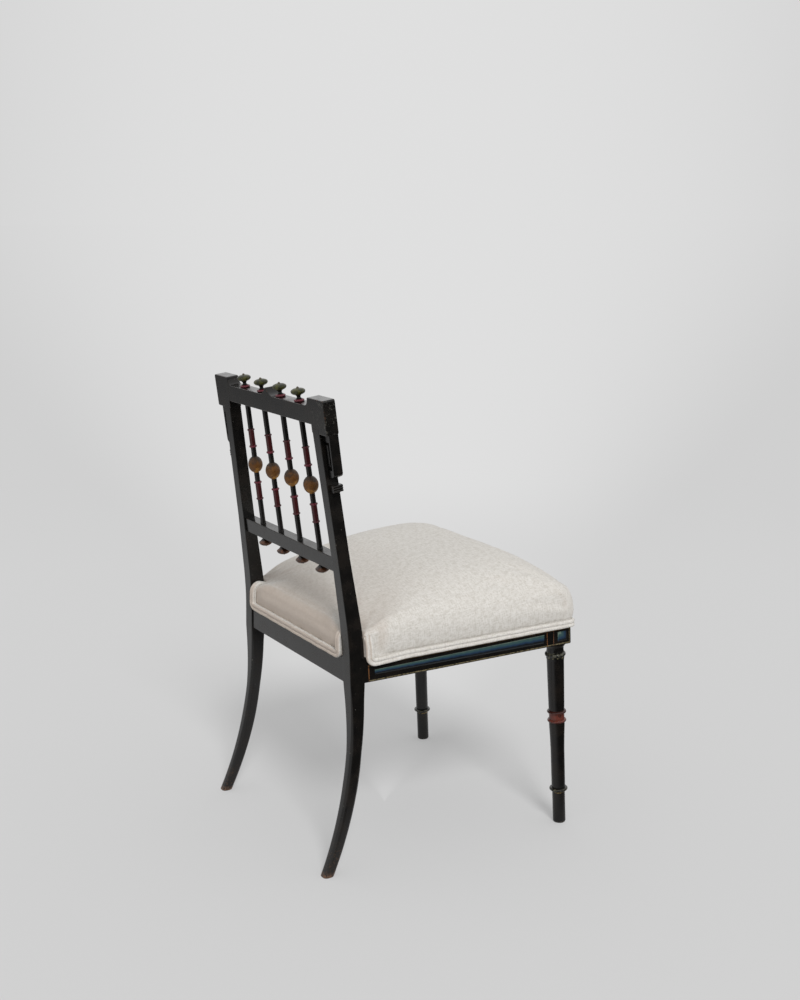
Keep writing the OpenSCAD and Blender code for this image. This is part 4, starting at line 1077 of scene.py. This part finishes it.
def inflated(piece):
    # cloth under gentle air pressure on a coarse copy; each point of the piece takes the mean move
    # of its neighbours
    trial = addObject("pressed", piece.data.copy())
    skin = trial.modifiers.new("coarse", "REMESH")
    skin.mode, skin.voxel_size = "VOXEL", seat["voxel"] * mm
    coarse = bpy.data.meshes.new_from_object(trial.evaluated_get(bpy.context.evaluated_depsgraph_get()))
    trial.modifiers.clear()
    trial.data = coarse
    before, normals = vertexArrays(coarse)
    tacked = np.round((1 - freeShare(before, normals)) * 5) / 5
    group = trial.vertex_groups.new(name="tacked")
    for weight in np.unique(tacked):
        group.add(np.flatnonzero(tacked == weight).tolist(), float(weight), "REPLACE")
    air = trial.modifiers.new("air", "CLOTH")
    air.settings.use_pressure, air.settings.uniform_pressure_force = True, seat["pressure"]
    air.settings.vertex_group_mass, air.settings.pin_stiffness = "tacked", 1
    air.settings.effector_weights.gravity = 0
    air.point_cache.frame_start, air.point_cache.frame_end = 1, seat["frames"]
    for step in range(1, seat["frames"] + 1):
        bpy.context.scene.frame_set(step)
    shaped = trial.evaluated_get(bpy.context.evaluated_depsgraph_get())
    after = vertexArrays(shaped.data)[0]
    move = after - before
    bpy.context.scene.frame_set(1)
    bpy.data.objects.remove(trial)
    points, normals = vertexArrays(piece.data)
    total = np.zeros_like(points)
    for rows in np.array_split(np.arange(len(points)), 40):
        gap = ((points[rows] ** 2).sum(1)[:, None] + (before ** 2).sum(1)[None] - 2 * points[rows] @ before.T)
        near = np.argpartition(gap, 8, axis=1)[:, :8]
        share = 1 / (np.take_along_axis(gap, near, 1).clip(0) + (0.5 * seat["voxel"] * mm) ** 2)
        total[rows] = (move[near] * share[..., None]).sum(1) / share.sum(1)[:, None]
    total *= freeShare(points, normals)[:, None]
    length = np.linalg.norm(total, axis=1, keepdims=True) + 1e-9
    cap = seat["cap"] * mm
    total *= cap * np.tanh(length / cap) / length
    piece.data.vertices.foreach_set("co", (points + total).astype(np.float32).ravel())
    piece.data.update()
    print("cover inflated, furthest move in mm:", round(float(np.linalg.norm(total, axis=1).max()) / mm, 2))


grid = seatRings()
cushion = addSurface("seatCushion", grid, inSeat, [cloth], uv=seatUv(grid))
inflated(cushion)
standsFor(cushion, "seat_pad")
print("cushion ready")


# Double welts

def sweep(path, normals, section):
    # a section carried along a path: its first number points along the normal, its second across the path
    along = np.gradient(path, axis=0)
    along /= np.linalg.norm(along, axis=1)[:, None]
    across = np.cross(along, normals)
    across /= np.linalg.norm(across, axis=1)[:, None]
    out = np.cross(across, along)
    return path[:, None] + out[:, None] * section[None, :, :1] + across[:, None] * section[None, :, 1:]


def weltSection(gap):
    # two round cords side by side on a flat backing, sewn together between them
    r = welt["cord"]
    return np.concatenate([arc((welt["out"], -r), r, -140, 62, 14), arc((welt["out"], r), r, -62, 140, 14),
                           [[gap, welt["backing"] * r], [gap, -welt["backing"] * r]]])


def weltBend(low):
    # where the cord turns from upright to level: how far it has come in, and its heights
    a = np.radians(np.linspace(-6, -90, 15))
    return welt["bend"] * (1 - np.cos(a)), low + welt["bend"] * (1 + np.sin(a))


def lengths(path):
    # how far each point lies along a path
    return np.concatenate([[0], np.cumsum(np.linalg.norm(np.diff(path, axis=0), axis=1))])


def evenPath(path, normals):
    # the same path with its points a fixed step apart
    run = lengths(path)
    at = np.linspace(0, run[-1], int(run[-1] / welt["step"]))
    pick = [np.stack([np.interp(at, run, a[:, k]) for k in range(3)], -1) for a in (path, normals)]
    pick[1] /= np.linalg.norm(pick[1], axis=1)[:, None]
    return pick[0], pick[1], at


def frontWeltPath():
    # up the post, a bend, along the side, round the corner and to the middle of the front
    weltZ = chair["showHeight"] + weltWide / 2
    low = weltZ - welt["dip"]
    z = np.linspace(welt["end"], low + welt["bend"], 12)
    y = notchY(z) - weltWide / 2
    inwards, bendZs = weltBend(low)
    run = np.linspace(0, 1, 60)[1:]
    start = y[-1] - welt["bend"]
    lineY = start * (1 - run) + blockTurn[1] * run
    lineZ = low + welt["dip"] * smooth((start - lineY) / 60)
    sideY, sideZ = np.concatenate([y, y[-1] - inwards, lineY]), np.concatenate([z, bendZs, lineZ])
    facing = np.array([math.cos(splay), math.sin(splay), 0])
    sunk = welt["sink"] * smooth((sideZ - welt["end"] + 25) / 25)
    path = np.stack([railX(sideY), sideY, sideZ], -1) - sunk[:, None] * facing
    corner = atHeight(arc((0, 0), 1, chair["splay"], -90, 11)[1:], 0)
    cornerPath = block["corner"] * corner + (*blockTurn, weltZ)
    return (mirrored(np.concatenate([path, cornerPath])),
            mirrored(np.concatenate([np.broadcast_to(facing, path.shape), corner])))


def rearWeltPath():
    # along the rear rail, up beside each post and forward over the roll, where it sinks in
    low = rearTop + welt["gap"]
    x = innerX(low) - weltWide / 2 - welt["unseen"]
    end, over = chair["seatZ"] + welt["rearEnd"], welt["over"]
    turn, onTop = np.radians(np.linspace(85, 0, 16)), np.linspace(22, 2, 8)
    down = np.zeros(22)  # the straight part and the bend below it
    ys = np.concatenate([over * (math.cos(turn[0]) - 1) - onTop, over * (np.cos(turn) - 1), down])
    facing = np.concatenate([np.full(8, turn[0]), turn, down])
    sunk = welt["sink"] * smooth(np.concatenate([onTop + 10, np.linspace(9, 0, 16), down]) / 30)
    inwards, bendZs = weltBend(low)
    zs = np.concatenate([np.full(8, end + over), end + over * np.sin(turn),
                         np.linspace(end, low + welt["bend"], 8)[1:]])
    xs = np.concatenate([x - (zs - low) * math.tan(math.radians(chair["postLean"])), x - inwards])
    normals = np.stack([np.zeros(facing.shape), np.cos(facing), np.sin(facing)], -1)
    half = np.stack([xs, chair["rearFace"] + ys, np.concatenate([zs, bendZs])], -1) - sunk[:, None] * normals
    return mirrored(half), mirrored(normals)


for name, node, place, route, gap in (("frontWelt", "welt_front", inSeat, frontWeltPath(), 1.3),
                                      ("rearWelt", "welt_rear", inRoom, rearWeltPath(), 0.3)):
    path, normals, run = evenPath(*route)
    section = weltSection(gap)
    uneven = 0.25 * (np.sin(run / 7.3) + np.sin(run / 12.9 + 1)) + 0.15 * np.sin(run / 3.1)
    grid = sweep(path + uneven[:, None] * normals, normals, section)
    around = lengths(section)
    uv = np.stack(np.broadcast_arrays(np.append(around, around[-1] + 5), run[:, None]), -1) * mm
    standsFor(addSurface(name, grid, place, [cloth], uv=uv, sharp=70), node)
print("welts ready")


# Work under the seat

under = {
    "strap": 50, "thick": 1.5, "pitch": 105, "rise": 1.6, "longHalf": 189, "strapIn": 12,
    "hessian": {"top": 93.4, "thick": 1.2, "sag": 0.4}, "hessianShare": 0.81,
    "cover": {"top": -1.7, "thick": 0.8, "sag": 3.5}, "coverIn": 11, "coverRear": -4,
    "coverMiddle": -195,
    "tackPitch": 38, "tackIn": 0.015, "tackWide": 7, "tackHigh": 1.1, "tackTop": -2.5,
}
strapY = frontY / 2 + 4


def strapGrid(half, phase):
    # a flat strap along X: it rises over every second strap that it crosses
    t, places = np.linspace(-half, half, 90), np.arange(-1, 2)
    over = (places + phase) % 2 == 0
    away = np.abs(t[:, None] - places * under["pitch"])
    z = under["rise"] * (over * smooth((under["strap"] / 2 + 8 - away) / 7)).sum(1)
    w, e = under["strap"] / 2, under["thick"] / 2
    a = np.radians(np.linspace(90, 270, 7))
    edge = np.stack([-w + e + e * np.cos(a), e * np.sin(a)], -1)
    section = np.concatenate([edge, [[-w / 3, -e], [w / 3, -e]], -edge, [[w / 3, e], [-w / 3, e]]])
    across, up = section.T
    grid = np.stack(np.broadcast_arrays(t[:, None], across, z[:, None] + up - e), -1)
    around = np.append(across, across[0])
    return grid, np.stack(np.broadcast_arrays(around, t[:, None]), -1) * mm


def crosswise(i):
    # a strap moved along the seat by whole pitches
    return lambda p: inSeat(p + (0, strapY + i * under["pitch"], 0))


def lengthwise(i):
    # a strap turned a quarter round and moved across the seat
    return lambda p: inSeat(np.stack([i * under["pitch"] - p[..., 1], p[..., 0] + strapY, p[..., 2]], -1))


straps = []
for i in (-1, 0, 1):
    for half, phase, place in ((railX(strapY + i * under["pitch"]) - under["strapIn"], i, crosswise(i)),
                               (under["longHalf"], i + 1, lengthwise(i))):
        grid, uv = strapGrid(half, phase)
        straps.append(addSurface("strap", grid, place, [webbingCloth], uv=uv))
standsFor(joined("seatWebbing", straps), "webbing")


def flatCloth(outline, top, thick, sag):
    # rings drawn in towards the middle, out along the lower face and back along the upper; the middle sags
    centre = np.array([0, (outline[:, 1].min() + outline[:, 1].max()) / 2])
    share = np.concatenate([np.linspace(0.02, 1, 18), np.linspace(1, 0.02, 18)])[:, None]
    flat = centre + (outline - centre)[None] * share[..., None]
    z = top - np.repeat([thick, 0], 18)[:, None] - sag * smooth((1 - share) / 0.8)
    grid = np.concatenate([flat, np.broadcast_to(z[..., None], (*flat.shape[:2], 1))], -1)
    ahead = np.roll(outline, -1, 0)
    area = abs((outline[:, 0] * ahead[:, 1] - ahead[:, 0] * outline[:, 1]).sum()) / 2
    size = outline.max(0) - outline.min(0)
    return grid, grid[..., :2] * mm, tuple((size * mm).tolist()), float(area * mm * mm)


plan = drawnIn(seatPlan(0, 0, 0, seat["corner"], chair["railHeight"]), under["hessianShare"])
grid, uv, flat, area = flatCloth(plan, **under["hessian"])
hessian = addSurface("springHessian", grid, inSeat, [jute], uv=uv)
standsFor(hessian, "spring_hessian")

# the cover's plan: within the rails, and stepped round the legs' blocks
front, notch, rear = frontY + under["coverIn"], (blockIn - 1, blockY + 1), under["coverRear"]
side = [[railX(y) - under["coverIn"], y] for y in (notch[1], rear)]
corners = mirrored(np.array([[0, front], [notch[0], front], notch, *side]))[:-1]
ahead = np.roll(corners, -1, 0)
counts = np.maximum((np.linalg.norm(ahead - corners, axis=1) / 6).astype(int), 1)
plan = np.concatenate([a + (b - a) * np.linspace(0, 1, n, endpoint=False)[:, None]
                       for a, b, n in zip(corners, ahead, counts)])
grid, uv, flat, area = flatCloth(plan, **under["cover"])
cover = addSurface("dustCover", grid, inSeat, [cambric], uv=uv)
inward = plan * (1 - under["tackIn"]) + (0, under["tackIn"] * under["coverMiddle"])
run = lengths(inward)
places = np.linspace(0, run[-1], int(run[-1] / under["tackPitch"]))[:-1] + under["tackPitch"] / 2
dome = arc((0, under["tackTop"]), (under["tackWide"] / 2, under["tackHigh"]), 0, -88, 5)[::-1]
tacks = []
for x, y in zip(*(np.interp(places, run, inward[:, k]) for k in (0, 1))):
    grid, uv = lathe(*dome.T, 10)
    tacks.append(addSurface("tack", grid + (x, y, 0), inSeat, [springSteel], uv=uv))
tackRow = joined("coverTacks", tacks)
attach(tackRow, "root")
standsFor(cover, "dust_cover")
for node, finish in (("corner_blocks", pine), ("springs", springSteel)):
    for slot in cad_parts[node].material_slots:
        slot.material = finish
print("underside ready")


# Floor, light and camera

studio = {
    "floor": "#cfcfcf", "back": "#e0e0e0", "backEdge": "#d0d0d0", "behind": (0.858, -0.514, 0),
    "floorNear": 0.9, "floorFar": 3.4, "floorHalf": 80, "fill": 0.42, "ambient": 0.6,
    "softbox": 0.45, "sun": (-2.5, 0.7, 2.4), "sunStrength": 2.05, "sunWide": 17,
    "reflectedScreens": (((-0.86, -0.51, 0), 0.2, 0.6, "#1c1c1c"), ((0.86, 0.51, 0), 0.9, 4.0, "#7c7c7c")),
    "lens": 49.87, "camera": (-2.1456, 1.2504, 1.1197), "view": (0.8391, -0.5026, -0.2078),
}


def backdrop(add, direction):
    # the paper is brightest behind the chair and falls off to both sides
    heading = add("VectorMath", direction, (1, 1, 0), operation="MULTIPLY")
    facing = add("VectorMath", add("VectorMath", heading, operation="NORMALIZE"), studio["behind"],
                 operation="DOT_PRODUCT")
    return over(add, studio["backEdge"], studio["back"], facing, 0.925, 1.01)


floorMesh = bpy.data.meshes.new("floor")
floorMesh.from_pydata([(x * studio["floorHalf"], y * studio["floorHalf"], 0)
                       for x, y in ((-1, -1), (1, -1), (1, 1), (-1, 1))], [], [(0, 1, 2, 3)])
addObject("floor", floorMesh)
paper, add, where = newFinish("paperSweep")
away = add("VectorMath", where["Object"], operation="LENGTH")
# the floor glows: near the chair at least the share fill of it gives off the backdrop's colour as light, which
# lightens the chair's shadow on it; further off it turns to glow alone
far = add("Math", add("MapRange", away, studio["floorNear"], studio["floorFar"]), studio["fill"],
          operation="MAXIMUM")
mixed = add("MixShader", far, add("BsdfDiffuse", studio["floor"]),
            add("Emission", backdrop(add, where["Object"]), 1.0))
# painted reflections: only to glossy rays, the floor shows a black patch on the chair's right and a grey one on
# its left, as if screens stood there
gloss = add("LightPath", out="Is Glossy Ray")
for toward, near, far, code in studio["reflectedScreens"]:
    aside = add("VectorMath", where["Object"], toward, operation="DOT_PRODUCT")
    reflectedScreen = add("Math", add("MapRange", aside, near, far), gloss)
    mixed = add("MixShader", reflectedScreen, mixed, add("Emission", code, 1.0))
add("OutputMaterial", mixed)
floorMesh.materials.append(paper)

world = bpy.data.worlds.new("studioWorld")
bpy.context.scene.world = world
world.use_nodes = True
world.node_tree.nodes.clear()
add = partial(addNode, world.node_tree)
rays = add("LightPath").node.outputs
gloss, heading = rays["Is Glossy Ray"], add("TexCoord", out="Generated")
seen = add("Math", add("Math", rays["Is Camera Ray"], gloss, operation="MAXIMUM"),
           rays["Is Transmission Ray"], operation="MAXIMUM")
upward = add("SeparateXYZ", heading, out=2)
softbox = add("Math", gloss, add("MapRange", upward, 0.0, 0.2, 0, studio["softbox"]))
pale = add("Background", backdrop(add, heading), add("Math", softbox, 1.0, operation="ADD"))
add("OutputWorld", add("MixShader", seen, add("Background", "#ffffff", studio["ambient"]), pale))


def placed(name, data, place, toward):
    # a lamp or a camera that looks along a direction
    made = addObject(name, data)
    made.location = place
    made.rotation_euler = Vector(toward).to_track_quat("-Z", "Y").to_euler()
    return made


sunData = bpy.data.lights.new("softSun", "SUN")
sunData.energy, sunData.angle = studio["sunStrength"], math.radians(studio["sunWide"])
sun = placed("softSun", sunData, studio["sun"], -Vector(studio["sun"]))
sun.visible_glossy = False  # a wide lamp leaves no hard highlight
cameraData = bpy.data.cameras.new("camera")
cameraData.lens, cameraData.sensor_width = studio["lens"], 36
bpy.context.scene.camera = placed("camera", cameraData, studio["camera"], studio["view"])
bpy.context.scene.view_settings.view_transform = "Standard"
print("studio ready")
